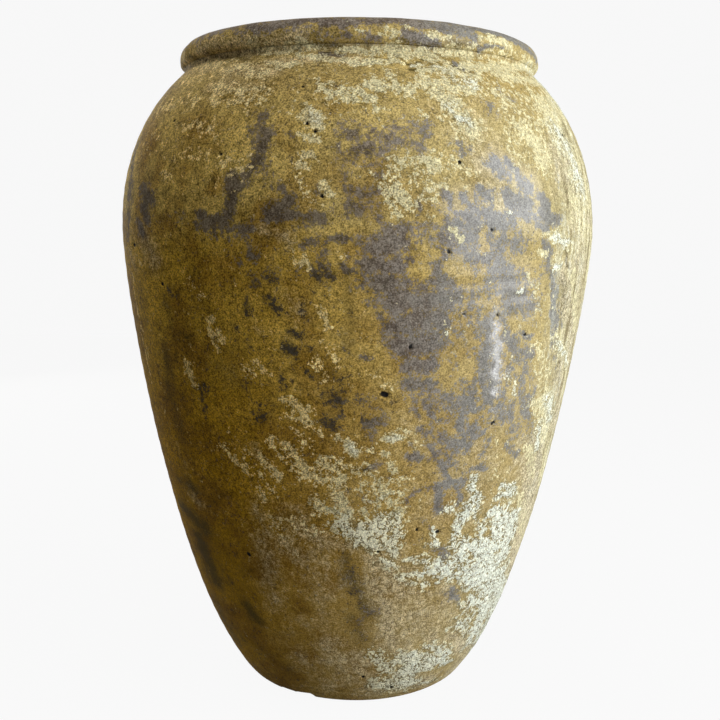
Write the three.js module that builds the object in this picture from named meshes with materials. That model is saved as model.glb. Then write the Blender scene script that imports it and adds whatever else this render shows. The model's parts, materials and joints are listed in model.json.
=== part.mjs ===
// A tall terracotta olive jar, in millimetres, +Z up. It stands on z = 0 with its axis on Z.
//
// A jar of this size is too heavy to throw in one go. It is raised on a clay floor in wall stages. Each
// stage stiffens, its top edge is bevelled and wetted with slip, and the next stage is set into it. A coil
// of soft clay is pressed over every joint inside. A thick collar closes the neck, and a coil rolled over
// the collar makes the rim. Every stage and coil here is a ring of its own, one slip line from the next.

import * as THREE from 'three';

// Heights of the layers, from the ground up
const FLOOR_THICKNESS = 24;
const FOOT_STAGE = 141;
const LOWER_STAGE = 160;
const BELLY_STAGE = 161;
const SHOULDER_STAGE = 161;
const COLLAR_RISE = 7;
const RIM_HEIGHT = 25;

// Outer radii of the jar
const FOOT_RADIUS = 123;
const BELLY_RADIUS = 252.5;
const SHOULDER_TOP_RADIUS = 187.5;

// Swell of the wall: lean from upright at the two ends, and how far each end pulls the curve its own way
const FOOT_LEAN = THREE.MathUtils.degToRad(40.5);
const FOOT_PULL = 124.5;
const BELLY_PULL_BELOW = 54.5;
const BELLY_PULL_ABOVE = 98.5;
const SHOULDER_LEAN = THREE.MathUtils.degToRad(47);
const SHOULDER_PULL = 22;

// Clay thicknesses, and the worn round on the foot's edge
const WALL = 18;
const FOOT_EASE = 4;

// Joints: rise of the bevel from outside to inside, and the line of slip in every joint
const SCARF_RISE = 12;
const SLIP_LINE = 0.4;

// Coils pressed over the joints inside: half height and depth on the wall, and reach in the floor's corner
const SEAM_COIL_HALF = 17;
const SEAM_COIL_DEPTH = 7;
const FLOOR_COIL_REACH = 26;
const FLOOR_COIL_FULLNESS = 0.35;

// Neck and rim: how far the collar stands in from the shoulder's edge, and the roll that it carries
const COLLAR_INSET = 5.5;
const COLLAR_LIP = 6;
const FILLET_WIDTH = 3.5;
const RIM_WIDTH = 35;
const RIM_OVERHANG = 8;
const RIM_EASE = 7;
const RIM_LAND = 7;

// Fineness of the rings
const SEGMENTS = 48;
const WALL_STEPS = 6;
const SHOULDER_STEPS = 9;
const ARC_STEPS = 4;

const FIRED_CLAY = { roughness: 0.7, metalness: 0 };

// Levels worked out from the layers
const footSeam = FLOOR_THICKNESS + FOOT_STAGE;
const lowerSeam = footSeam + LOWER_STAGE;
const bellySeam = lowerSeam + BELLY_STAGE;
const shoulderTop = bellySeam + SHOULDER_STAGE;
const collarTop = shoulderTop + COLLAR_RISE;
const jarTop = collarTop + RIM_HEIGHT;

// Radii worked out from the neck
const collarRadius = SHOULDER_TOP_RADIUS - COLLAR_INSET;
const rimRadius = collarRadius + RIM_OVERHANG;
const mouthRadius = rimRadius - RIM_WIDTH;

// The outer face, as radius and height: one curve up to the belly and one over the shoulder
const belly = new THREE.Vector2(BELLY_RADIUS, bellySeam);
const shoulderEdge = new THREE.Vector2(SHOULDER_TOP_RADIUS, shoulderTop);

const bodyCurve = new THREE.CubicBezierCurve(
  new THREE.Vector2(FOOT_RADIUS, 0),
  new THREE.Vector2(FOOT_RADIUS + FOOT_PULL * Math.sin(FOOT_LEAN), FOOT_PULL * Math.cos(FOOT_LEAN)),
  new THREE.Vector2(BELLY_RADIUS, bellySeam - BELLY_PULL_BELOW),
  belly,
);

const shoulderCurve = new THREE.CubicBezierCurve(
  belly,
  new THREE.Vector2(BELLY_RADIUS, bellySeam + BELLY_PULL_ABOVE),
  new THREE.Vector2(
    SHOULDER_TOP_RADIUS + SHOULDER_PULL * Math.sin(SHOULDER_LEAN),
    shoulderTop - SHOULDER_PULL * Math.cos(SHOULDER_LEAN),
  ),
  shoulderEdge,
);

// Where a curve passes a height, by halving the stretch that holds it
function parameterAt(curve, height) {
  let low = 0;
  let high = 1;
  for (let i = 0; i < 40; i += 1) {
    const middle = (low + high) / 2;
    if (curve.getPoint(middle).y < height) {
      low = middle;
    } else {
      high = middle;
    }
  }
  return (low + high) / 2;
}

// The outer face at a height: its point, the way up along it and the way straight in through the wall
function faceAt(height) {
  const curve = height > bellySeam ? shoulderCurve : bodyCurve;
  const t = parameterAt(curve, height);
  const up = curve.getTangent(t);
  const inward = new THREE.Vector2(-up.y, up.x);
  return { point: curve.getPoint(t), up, inward };
}

// A point in the wall, so deep below the outer face at a height
function wallPoint(height, depth) {
  const face = faceAt(height);
  return face.point.clone().addScaledVector(face.inward, depth);
}

function spread(from, to, steps) {
  return Array.from({ length: steps + 1 }, (_, i) => THREE.MathUtils.lerp(from, to, i / steps));
}

// A ring of clay from its section, whose points run up the outside and down the inside
function ring(name, color, section) {
  const closed = [...section, section[0].clone()];
  return lathe(name, color, closed);
}

function lathe(name, color, outline) {
  const geometry = new THREE.LatheGeometry(outline, SEGMENTS);
  geometry.rotateX(Math.PI / 2);
  const mesh = new THREE.Mesh(geometry, new THREE.MeshStandardMaterial({ color, ...FIRED_CLAY }));
  mesh.name = name;
  return mesh;
}

// The inner end of the joint at a seam, where the bevel has risen through the wall
function innerSeam(seam) {
  return seam + SCARF_RISE;
}

// The inside of a wall stage, from its top down, with rings of points where the coils end
function innerFace(from, to, coilBelow, coilAbove) {
  const heights = [from, ...spread(from + coilBelow, to - coilAbove, WALL_STEPS - 2), to];
  return heights.reverse().map((height) => wallPoint(height, WALL));
}

function outerFace(from, to, steps) {
  return spread(from, to, steps).map((height) => wallPoint(height, 0));
}

// A stage between two bevelled joints, one slip line above the lower one
function wallStage(name, color, seamBelow, seamAbove) {
  return ring(name, color, [
    ...outerFace(seamBelow + SLIP_LINE, seamAbove, WALL_STEPS),
    ...innerFace(
      innerSeam(seamBelow) + SLIP_LINE, innerSeam(seamAbove), SEAM_COIL_HALF - SLIP_LINE, SEAM_COIL_HALF,
    ),
  ]);
}

// The disc that the jar stands on, with its edge eased into the wall
function floorSlab() {
  const edge = new THREE.QuadraticBezierCurve(
    new THREE.Vector2(FOOT_RADIUS - FOOT_EASE, 0),
    new THREE.Vector2(FOOT_RADIUS, 0),
    wallPoint(FOOT_EASE, 0),
  );
  return lathe('floor_slab', 0x7d6640, [
    new THREE.Vector2(0, 0),
    ...edge.getPoints(ARC_STEPS),
    wallPoint((FOOT_EASE + FLOOR_THICKNESS) / 2, 0),
    wallPoint(FLOOR_THICKNESS, 0),
    new THREE.Vector2(0, FLOOR_THICKNESS),
  ]);
}

// The inner foot of the wall, level with a height just above the floor
function wallFoot(height, depth) {
  const face = faceAt(height);
  return new THREE.Vector2(face.point.x - depth / face.up.y, height);
}

// The first stage stands on the flat floor, so its lower edge is level
function footWall() {
  const bottom = FLOOR_THICKNESS + SLIP_LINE;
  const inside = innerFace(bottom, innerSeam(footSeam), FLOOR_COIL_REACH, SEAM_COIL_HALF);
  inside[inside.length - 1] = wallFoot(bottom, WALL);
  return ring('foot_wall', 0x806a3c, [...outerFace(bottom, footSeam, WALL_STEPS), ...inside]);
}

// The coil in the floor's corner, hollowed by the thumb that pressed it in
function floorCoil() {
  const bottom = FLOOR_THICKNESS + SLIP_LINE;
  const corner = wallFoot(bottom, WALL + SLIP_LINE);
  const onWall = wallPoint(bottom + FLOOR_COIL_REACH, WALL + SLIP_LINE);
  const onFloor = new THREE.Vector2(corner.x - FLOOR_COIL_REACH, bottom);
  const thumb = corner.clone().add(
    new THREE.Vector2(-FLOOR_COIL_FULLNESS, FLOOR_COIL_FULLNESS).multiplyScalar(FLOOR_COIL_REACH),
  );
  const hollow = new THREE.QuadraticBezierCurve(onWall, thumb, onFloor);
  return ring('floor_coil', 0x77603a, [corner, ...hollow.getPoints(ARC_STEPS)]);
}

// A coil flattened over the inside of a joint
function seamCoil(name, color, seam) {
  const back = WALL + SLIP_LINE;
  const front = spread(0, Math.PI, ARC_STEPS + 1).map((angle) => wallPoint(
    innerSeam(seam) + SEAM_COIL_HALF * Math.cos(angle),
    back + SEAM_COIL_DEPTH * Math.sin(angle),
  ));
  return ring(name, color, [wallPoint(innerSeam(seam), back), ...front]);
}

// The last stage ends square to its own wall, which leaves a seat that slopes down into the neck
function shoulderWall() {
  const bottom = innerSeam(bellySeam) + SLIP_LINE;
  return ring('shoulder_wall', 0x94804e, [
    ...outerFace(bellySeam + SLIP_LINE, shoulderTop, SHOULDER_STEPS),
    ...innerFace(bottom, shoulderTop, SEAM_COIL_HALF - SLIP_LINE, WALL),
  ]);
}

// A point on the sloping seat, one slip line above the shoulder's edge, at a radius
const seat = faceAt(shoulderTop);
const seatEdge = seat.point.clone().addScaledVector(seat.up, SLIP_LINE);

function seatPoint(radius) {
  return seatEdge.clone().addScaledVector(seat.inward, (radius - seatEdge.x) / seat.inward.x);
}

// The collar fills the seat, carries on the slope of the wall inside and ends in a level top
function neckCollar() {
  return ring('neck_collar', 0x8a7650, [
    seatPoint(collarRadius),
    new THREE.Vector2(collarRadius, collarTop),
    new THREE.Vector2(mouthRadius + RIM_EASE, collarTop),
    new THREE.Vector2(mouthRadius + RIM_EASE, collarTop - COLLAR_LIP),
    seatEdge.clone().addScaledVector(seat.inward, WALL),
  ]);
}

// Slip clay wiped into the groove between the collar and the shoulder's edge
function neckFillet() {
  const back = collarRadius + SLIP_LINE;
  const top = collarTop - SLIP_LINE;
  return ring('neck_fillet', 0xb4a684, [
    seatPoint(back),
    seatEdge,
    new THREE.Vector2(back + FILLET_WIDTH, top),
    new THREE.Vector2(back, top),
  ]);
}

// The rim: a rounded crown with a level land on top, its lower edges rolled under to the collar
function rimRoll() {
  const bottom = collarTop + SLIP_LINE;
  const half = RIM_WIDTH / 2;
  const middle = rimRadius - half;
  const waist = bottom + RIM_EASE;
  const landAngle = Math.asin(RIM_LAND / RIM_WIDTH);
  const crown = (jarTop - waist) / Math.cos(landAngle);
  const arc = (x, y, width, height, from, to) => (
    new THREE.EllipseCurve(x, y, width, height, from, to).getPoints(ARC_STEPS)
  );
  const quarter = Math.PI / 2;
  return ring('rim_roll', 0x9a834c, [
    ...arc(rimRadius - RIM_EASE, waist, RIM_EASE, RIM_EASE, -quarter, 0),
    ...arc(middle, waist, half, crown, 0, quarter - landAngle).slice(1),
    ...arc(middle, waist, half, crown, quarter + landAngle, 2 * quarter),
    ...arc(mouthRadius + RIM_EASE, waist, RIM_EASE, RIM_EASE, 2 * quarter, 3 * quarter).slice(1),
  ]);
}

const jar = new THREE.Group();
jar.name = 'olive_jar';
jar.add(
  floorSlab(),
  floorCoil(),
  footWall(),
  seamCoil('foot_seam_coil', 0x77603a, footSeam),
  wallStage('lower_wall', 0x87713f, footSeam, lowerSeam),
  seamCoil('lower_seam_coil', 0x77603a, lowerSeam),
  wallStage('belly_wall', 0x8c7745, lowerSeam, bellySeam),
  seamCoil('belly_seam_coil', 0x77603a, bellySeam),
  shoulderWall(),
  neckCollar(),
  neckFillet(),
  rimRoll(),
);

export default jar;
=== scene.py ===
# %% [markdown]
# # A terracotta olive jar
# The jar is built from clay rings: a floor, four wall stages, the coils pressed over their joints, a
# collar, a wiped fillet and a rolled rim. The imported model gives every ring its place. This lesson makes
# each ring again with a fine surface, then ages it: dark fired skin, ochre slip, dust and lime.

import json
import math
import random
from types import SimpleNamespace

import bpy
import numpy as np
from mathutils import Matrix, Vector, noise

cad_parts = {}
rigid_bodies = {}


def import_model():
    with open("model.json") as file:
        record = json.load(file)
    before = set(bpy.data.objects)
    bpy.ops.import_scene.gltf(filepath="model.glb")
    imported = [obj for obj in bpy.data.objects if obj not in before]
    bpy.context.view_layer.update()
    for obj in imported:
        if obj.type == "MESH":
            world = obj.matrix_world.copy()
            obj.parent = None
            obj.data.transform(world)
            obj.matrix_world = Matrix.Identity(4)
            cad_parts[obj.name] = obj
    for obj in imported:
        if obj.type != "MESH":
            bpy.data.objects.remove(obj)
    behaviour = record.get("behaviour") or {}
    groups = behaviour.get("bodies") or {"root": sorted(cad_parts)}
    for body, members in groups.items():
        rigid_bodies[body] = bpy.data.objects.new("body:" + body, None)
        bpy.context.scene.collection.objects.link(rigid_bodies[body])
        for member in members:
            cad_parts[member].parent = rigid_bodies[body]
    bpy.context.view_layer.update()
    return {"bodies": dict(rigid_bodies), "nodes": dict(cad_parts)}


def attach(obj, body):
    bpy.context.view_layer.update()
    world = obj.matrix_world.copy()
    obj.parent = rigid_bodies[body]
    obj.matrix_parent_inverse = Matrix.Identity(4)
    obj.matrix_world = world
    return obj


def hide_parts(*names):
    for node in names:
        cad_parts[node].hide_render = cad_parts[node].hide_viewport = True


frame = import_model()
print("packed rings:", ", ".join(sorted(frame["nodes"])))

# %% [markdown]
# ## Camera
# The photograph looks about eight degrees down on the jar, from a little over a metre away, and the jar
# leans half a degree to the right in it. A focal length in pixels is turned into a lens length by the
# sensor's width. Making the camera first lets the later steps place a mark by its pixel.

# %% Camera
PHOTO_PIXELS = 720
FOCAL_PIXELS = 944
SENSOR_WIDTH = 36
CAMERA_PLACE = Vector((0.004, -1.0544, 0.4927))
LOOK_DOWN = math.radians(8)
ROLL = math.radians(0.5)

camera = bpy.data.objects.new("camera", bpy.data.cameras.new("camera"))
camera.data.sensor_width = SENSOR_WIDTH
camera.data.lens = SENSOR_WIDTH * FOCAL_PIXELS / PHOTO_PIXELS
turn = Matrix.Rotation(math.pi / 2 - LOOK_DOWN, 4, "X") @ Matrix.Rotation(ROLL, 4, "Z")
camera.matrix_world = Matrix.Translation(CAMERA_PLACE) @ turn
bpy.context.scene.collection.objects.link(camera)
bpy.context.scene.camera = camera
print(f"lens {camera.data.lens:.1f} mm")

# %% [markdown]
# ## Light
# One wide soft lamp stands to the right like a window and leaves the jar's left side in shade. A short
# thin strip, low down on the same side, draws the white line on the polished skin. A lamp overhead
# softens the shadows, and a weak one behind on the left keeps the back readable.

# %% Lamps and world
AIM = Vector((0, 0, 0.38))
DIM_GREY = (0.03, 0.03, 0.03, 1)
LAMPS = {  # degrees round from the camera's side, distance, height, width, length, watts, colour, lean
    "window_lamp": (64, 1.7, 0.80, 1.8, 1.7, 50, (0.97, 1.0, 1.04), 0),
    "low_strip_lamp": (64, 0.84, 0.14, 0.014, 0.21, 0.55, (0.96, 0.98, 1.0), 33),
    "top_lamp": (-50, 0.5, 2.2, 1.8, 1.8, 21, (1.0, 0.99, 0.97), 0),
    "back_lamp": (-140, 2.0, 1.0, 1.4, 1.6, 20, (1.0, 0.98, 0.95), 0),
}


def soft_lamp(name, azimuth, distance, height, width, length, watts, colour, lean):
    """A rectangular lamp, so many degrees round to the right of the camera's side, aimed at the jar."""
    lamp = bpy.data.lights.new(name, "AREA")
    lamp.shape = "RECTANGLE"
    lamp.size, lamp.size_y = width, length
    lamp.energy, lamp.color = watts, colour
    angle = math.radians(azimuth)
    place = Vector((distance * math.sin(angle), -distance * math.cos(angle), height))
    facing = (place - AIM).to_track_quat("Z", "Y").to_matrix().to_4x4()
    thing = bpy.data.objects.new(name, lamp)
    thing.matrix_world = Matrix.Translation(place) @ facing @ Matrix.Rotation(math.radians(lean), 4, "Z")
    thing.visible_camera = False
    bpy.context.scene.collection.objects.link(thing)


for name, settings in LAMPS.items():
    soft_lamp(name, *settings)
world = bpy.data.worlds.new("dim_studio")
world.use_nodes = True
world.node_tree.nodes["Background"].inputs["Color"].default_value = DIM_GREY
bpy.context.scene.world = world
bpy.context.scene.view_settings.view_transform = "Standard"
print("lamps:", ", ".join(LAMPS))

# %% [markdown]
# ## Wires between nodes
# Shapes and materials are both node trees here. A wire is one output of a node, and arithmetic on wires
# adds Math nodes to their tree, so that a rule can be written like a sum.

# %% Wires and nodes
class Wire:
    """One output of a node. Arithmetic on wires adds Math nodes to their tree."""

    def __init__(self, tree, socket):
        self.tree, self.socket = tree, socket

    def math(self, operation, *others):
        return calc(self.tree, operation, self, *others)

    def __abs__(self):
        return self.math("ABSOLUTE")

    def at_least(self, other):
        return self.math("MAXIMUM", other)

    def at_most(self, other):
        return self.math("MINIMUM", other)


SIGNS = {"add": "ADD", "sub": "SUBTRACT", "mul": "MULTIPLY", "truediv": "DIVIDE"}
for sign, operation in SIGNS.items():
    setattr(Wire, f"__{sign}__", lambda a, b, name=operation: calc(a.tree, name, a, b))
    setattr(Wire, f"__r{sign}__", lambda a, b, name=operation: calc(a.tree, name, b, a))


def put(tree, kind, inputs=None, out=0, **settings):
    """Adds a node and returns a wire from one output, or from each of several named in a tuple."""
    node = tree.nodes.new(kind)
    for name, value in settings.items():
        setattr(node, name, value)
    for name, value in (inputs or {}).items():
        if isinstance(value, Wire):
            tree.links.new(value.socket, node.inputs[name])
        else:
            node.inputs[name].default_value = value
    if isinstance(out, tuple):
        return [Wire(tree, node.outputs[name]) for name in out]
    return Wire(tree, node.outputs[out]) if node.outputs else None


def calc(tree, operation, *values):
    """One Math node on wires or numbers."""
    return put(tree, "ShaderNodeMath", dict(enumerate(values)), operation=operation)


def empty_material_tree(material):
    material.use_nodes = True
    material.node_tree.nodes.clear()
    return material.node_tree


print("wires can", ", ".join(SIGNS))

# %% [markdown]
# ## Floor and backdrop
# Both are one pale sheet. For the camera and in reflections it mostly glows, so that it comes out white,
# and its small diffuse share takes the jar's shadow. The lamps find a plain grey sheet.

# %% Floor and backdrop
FLOOR_HALF = 5.0
BACKDROP_DISTANCE = 3.2
BACKDROP_HEIGHT = 5.0
GLOW_SHARE = 0.93
PAPER_GREY = (0.30, 0.30, 0.29, 1)
WHITE = (1, 1, 1, 1)

paper = bpy.data.materials.new("pale_paper")
tree = empty_material_tree(paper)
seen, mirrored, through = put(
    tree, "ShaderNodeLightPath", out=("Is Camera Ray", "Is Glossy Ray", "Is Transmission Ray")
)
matt = put(tree, "ShaderNodeBsdfDiffuse", {"Color": PAPER_GREY})
glow = put(tree, "ShaderNodeEmission", {"Color": WHITE, "Strength": 1.0})
share = seen.at_least(mirrored).at_least(through) * GLOW_SHARE
mixed = put(tree, "ShaderNodeMixShader", {0: share, 1: matt, 2: glow})
put(tree, "ShaderNodeOutputMaterial", {"Surface": mixed})

left, right, near, far = -FLOOR_HALF, FLOOR_HALF, -FLOOR_HALF, BACKDROP_DISTANCE
sheet_corners = [
    (left, near, 0), (right, near, 0), (right, far, 0), (left, far, 0),
    (right, far, BACKDROP_HEIGHT), (left, far, BACKDROP_HEIGHT),
]
sheet = bpy.data.meshes.new("floor_and_backdrop")
sheet.from_pydata(sheet_corners, [], [(0, 1, 2, 3), (3, 2, 4, 5)])
sheet.materials.append(paper)
floor = bpy.data.objects.new("floor_and_backdrop", sheet)
bpy.context.scene.collection.objects.link(floor)
print("floor and backdrop:", len(sheet.polygons), "faces")

# %% [markdown]
# ## The jar's outline
# A thrown jar is the same all round, so one curve gives its whole outside: it leaves the narrow foot at
# a slant, swells to the belly and turns in over the shoulder. Two cubic curves, as radius and height,
# are enough. The wall's inside is the same curve, one wall thickness deeper.

# %% Outline
BELLY_SEAM = 0.486
SHOULDER_TOP = 0.647
BODY_CURVE = [(0.123, 0.0), (0.2039, 0.0947), (0.2525, 0.4315), (0.2525, BELLY_SEAM)]
SHOULDER_CURVE = [(0.2525, BELLY_SEAM), (0.2525, 0.5845), (0.2036, 0.632), (0.1875, SHOULDER_TOP)]
CURVE_STEPS = 800


def cubic(points, steps):
    """Points along a cubic curve through its first and last control point."""
    t = np.linspace(0, 1, steps)[:, None]
    p0, p1, p2, p3 = (np.array(p) for p in points)
    return (1 - t) ** 3 * p0 + 3 * (1 - t) ** 2 * t * p1 + 3 * (1 - t) * t**2 * p2 + t**3 * p3


outline = np.vstack([cubic(BODY_CURVE, CURVE_STEPS), cubic(SHOULDER_CURVE, CURVE_STEPS)[1:]])
slope = np.gradient(outline[:, 0], outline[:, 1])


def wall_point(height, depth=0.0):
    """Radius and height of the point so deep in the wall, square to the outside at a height."""
    radius = np.interp(height, outline[:, 1], outline[:, 0])
    lean = np.interp(height, outline[:, 1], slope)
    length = math.hypot(1, lean)
    return radius - depth / length, height + depth * lean / length


print(f"belly radius {outline[:, 0].max():.4f} m, outline points {len(outline)}")

# %% [markdown]
# ## A thrown ring in Geometry Nodes
# Every ring is one section carried round the axis, which is a rule, so a node tree makes it. It starts
# from a flat grid with one row for each point of the section, looks up the section point for every row,
# and bends the columns round the axis. Soft clay never runs true, so slow noise pushes the
# surface about by half a millimetre, and fine level ridges stay where the fingers went round. Both
# depend only on the place, so that neighbouring rings still meet.

# %% Trees with named inputs
def new_tree(name, sockets):
    """An empty node tree with named inputs: returns the tree, wires from its inputs and their keys."""
    tree = bpy.data.node_groups.new(name, "GeometryNodeTree")
    tree.is_modifier = True
    for label, kind in {"Geometry": "Geometry", **sockets}.items():
        tree.interface.new_socket(label, in_out="INPUT", socket_type="NodeSocket" + kind)
    tree.interface.new_socket("Geometry", in_out="OUTPUT", socket_type="NodeSocketGeometry")
    keys = {item.name: item.identifier for item in tree.interface.items_tree if item.in_out == "INPUT"}
    return tree, dict(zip(keys, put(tree, "NodeGroupInput", out=tuple(keys)))), keys


def end_tree(tree, geometry, material):
    """Ends a tree with plain geometry that carries its material."""
    geometry = put(tree, "GeometryNodeRealizeInstances", {"Geometry": geometry})
    geometry = put(tree, "GeometryNodeSetMaterial", {"Geometry": geometry, "Material": material})
    put(tree, "NodeGroupOutput", {0: geometry})


def apply_tree(thing, tree, keys, values):
    """Puts a tree on an object, takes its result as a plain mesh and leaves no modifier behind."""
    modifier = thing.modifiers.new(tree.name, "NODES")
    modifier.node_group = tree
    for label, value in values.items():
        modifier[keys[label]] = value
    depsgraph = bpy.context.evaluated_depsgraph_get()
    mesh = bpy.data.meshes.new_from_object(thing.evaluated_get(depsgraph))
    mesh.materials.clear()
    mesh.materials.append(values["Material"])
    thing.modifiers.remove(modifier)
    thing.data = mesh


print("tree helpers:", new_tree.__name__, end_tree.__name__, apply_tree.__name__)

# %% Tree for a thrown ring
WELD = 2e-6
SHARP_ANGLE = math.radians(35)
RIDGE_DRIFT, DENT_DRIFT = 9.0, 14.0

ring_tree, given, ring_keys = new_tree("thrown_ring", {
    "Segments": "Int", "Closed section": "Int",
    "Wobble": "Float", "Wobble size": "Float",
    "Ridge": "Float", "Ridge pitch": "Float",
    "Thumb dents": "Int", "Dent depth": "Float",
    "Material": "Material",
})
profile = given["Geometry"]
points = put(ring_tree, "GeometryNodeAttributeDomainSize", {"Geometry": profile}, out="Point Count")
columns = given["Segments"] + 1
grid = put(ring_tree, "GeometryNodeMeshGrid", {
    "Vertices X": points + given["Closed section"], "Vertices Y": columns,
})
index = put(ring_tree, "GeometryNodeInputIndex")
row = ((index + 0.5) / columns).math("FLOOR")
column = index - row * columns
here = put(ring_tree, "GeometryNodeInputPosition")
looked_up = put(ring_tree, "GeometryNodeSampleIndex", {
    "Geometry": profile, "Value": here, "Index": row.math("FLOORED_MODULO", points),
}, data_type="FLOAT_VECTOR", domain="POINT")
radius, level = put(ring_tree, "ShaderNodeSeparateXYZ", {0: looked_up}, out=("X", "Z"))
angle = column / given["Segments"] * -math.tau
bent = put(ring_tree, "ShaderNodeCombineXYZ", {
    "X": radius * angle.math("COSINE"), "Y": radius * angle.math("SINE"), "Z": level,
})
swept = put(ring_tree, "GeometryNodeSetPosition", {"Geometry": grid, "Position": bent})
swept = put(ring_tree, "GeometryNodeMergeByDistance", {"Geometry": swept, "Distance": WELD})

slow = put(ring_tree, "ShaderNodeTexNoise", {
    "Vector": here, "Scale": 1.0 / given["Wobble size"], "Detail": 1.0,
})
x, y, z = put(ring_tree, "ShaderNodeSeparateXYZ", {0: here}, out=("X", "Y", "Z"))
ridges = (z / given["Ridge pitch"] * math.tau + slow * RIDGE_DRIFT).math("SINE")
dents = (y.math("ARCTAN2", x) * given["Thumb dents"] + slow * DENT_DRIFT).math("SINE")
push = (slow - 0.5) * given["Wobble"] + ridges * given["Ridge"] + dents * given["Dent depth"]
level_place = put(ring_tree, "ShaderNodeCombineXYZ", {"X": x, "Y": y})
outwards = put(ring_tree, "ShaderNodeVectorMath", {0: level_place}, operation="NORMALIZE")
offset = put(ring_tree, "ShaderNodeVectorMath", {0: outwards, "Scale": push}, operation="SCALE")
moved = put(ring_tree, "GeometryNodeSetPosition", {"Geometry": swept, "Offset": offset})
bend = put(ring_tree, "GeometryNodeInputMeshEdgeAngle", out="Unsigned Angle")
smooth = put(ring_tree, "GeometryNodeSetShadeSmooth", {
    "Geometry": moved, "Shade Smooth": bend.math("LESS_THAN", SHARP_ANGLE),
}, domain="EDGE")
end_tree(ring_tree, smooth, given["Material"])
print("thrown_ring inputs:", ", ".join(ring_keys))

# %% [markdown]
# ## Sections of the rings
# A section is a short list of radius and height, up the outside and down the inside. Outside rows lie
# about two millimetres apart, fine enough to carry the marks of age, and the inside is coarser. Wall
# stages meet on bevelled joints that rise towards the inside.

# %% Sections of floor, walls and coils
FLOOR_THICKNESS = 0.024
FOOT_SEAM = 0.165
LOWER_SEAM = 0.325
WALL = 0.018
SCARF_RISE = 0.012
FOOT_RADIUS = BODY_CURVE[0][0]
FOOT_EASE = 0.004
ROW, INSIDE_ROW = 0.0020, 0.011
UNDERSIDE_ROWS, EDGE_ROWS, FLOOR_TOP_ROWS = 12, 6, 14
COIL_HALF, COIL_DEPTH, COIL_ROWS = 0.017, 0.007, 16
FLOOR_COIL_REACH, FLOOR_COIL_FULLNESS, FLOOR_COIL_ROWS = 0.026, 0.35, 12
STAGES = {
    "foot": (FLOOR_THICKNESS, FOOT_SEAM), "lower": (FOOT_SEAM, LOWER_SEAM),
    "belly": (LOWER_SEAM, BELLY_SEAM), "shoulder": (BELLY_SEAM, SHOULDER_TOP),
}


def face_rows(low, high, depth, spacing):
    """Points up one face of the wall, between two heights of the outline."""
    return [wall_point(z, depth) for z in np.linspace(low, high, max(2, round((high - low) / spacing)) + 1)]


def wall_section(low, high):
    """One wall stage. Its ends rise towards the inside, except on the floor and under the collar."""
    low_inside = low if low == FLOOR_THICKNESS else low + SCARF_RISE
    high_inside = high if high == SHOULDER_TOP else high + SCARF_RISE
    return face_rows(low, high, 0, ROW) + face_rows(low_inside, high_inside, WALL, INSIDE_ROW)[::-1]


def bow(a, b, c, steps):
    """Points along a curve from a to c that is pulled towards b."""
    t = np.linspace(0, 1, steps + 1)[:, None]
    return list(map(tuple, (1 - t) ** 2 * np.array(a) + 2 * t * (1 - t) * np.array(b) + t**2 * np.array(c)))


def coil_section(seam):
    """A half round coil on the inside of a joint."""
    middle = seam + SCARF_RISE
    return [wall_point(middle, WALL)] + [
        wall_point(middle + COIL_HALF * math.cos(a), WALL + COIL_DEPTH * math.sin(a))
        for a in np.linspace(0, math.pi, COIL_ROWS + 1)
    ]


foot_lean = np.interp(FLOOR_THICKNESS, outline[:, 1], slope)
corner_radius = wall_point(FLOOR_THICKNESS)[0] - WALL * math.hypot(1, foot_lean)
coil_corner = (corner_radius, FLOOR_THICKNESS)
coil_pull = FLOOR_COIL_FULLNESS * FLOOR_COIL_REACH
coil_thumb = (corner_radius - coil_pull, FLOOR_THICKNESS + coil_pull)
coil_end = (corner_radius - FLOOR_COIL_REACH, FLOOR_THICKNESS)
coil_start = wall_point(FLOOR_THICKNESS + FLOOR_COIL_REACH, WALL)
foot_edge = bow((FOOT_RADIUS - FOOT_EASE, 0), (FOOT_RADIUS, 0), wall_point(FOOT_EASE), EDGE_ROWS)
underside = [(r, 0.0) for r in np.linspace(0, FOOT_RADIUS - FOOT_EASE, UNDERSIDE_ROWS)[:-1]]
floor_radii = np.linspace(wall_point(FLOOR_THICKNESS)[0], 0, FLOOR_TOP_ROWS)[1:]
floor_top = [(r, FLOOR_THICKNESS) for r in floor_radii]

sections = {
    "floor_slab": underside + foot_edge + face_rows(FOOT_EASE, FLOOR_THICKNESS, 0, ROW)[1:] + floor_top,
    "floor_coil": [coil_corner] + bow(coil_start, coil_thumb, coil_end, FLOOR_COIL_ROWS),
}
for stage, (low, high) in STAGES.items():
    sections[stage + "_wall"] = wall_section(low, high)
    if high < SHOULDER_TOP:
        sections[stage + "_seam_coil"] = coil_section(high)
sections["foot_wall"][-1] = coil_corner  # the first stage stands on the floor, right behind its coil
print({name: len(points) for name, points in sections.items()})

# %% Sections of collar, fillet and rim
COLLAR_RADIUS = 0.182
COLLAR_TOP = 0.654
COLLAR_LIP = 0.006
COLLAR_PULL = (0.003, -0.013)
FILLET_PULL = (0.1840, 0.6495)
FILLET_TOP = (0.1862, COLLAR_TOP)
JAR_TOP = 0.679
RIM_RADIUS = 0.190
RIM_WIDTH = 0.035
RIM_EASE = 0.007
RIM_LAND = 0.007
COLLAR_ROWS, FILLET_ROWS, EASE_ROWS, CROWN_ROWS = 6, 10, 10, 16
MOUTH = RIM_RADIUS - RIM_WIDTH

seat_edge = wall_point(SHOULDER_TOP)
seat_inside = wall_point(SHOULDER_TOP, WALL)


def seat_point(radius):
    """Point on the sloping top of the shoulder wall at a radius."""
    share = (seat_edge[0] - radius) / (seat_edge[0] - seat_inside[0])
    return radius, seat_edge[1] + share * (seat_inside[1] - seat_edge[1])


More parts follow.
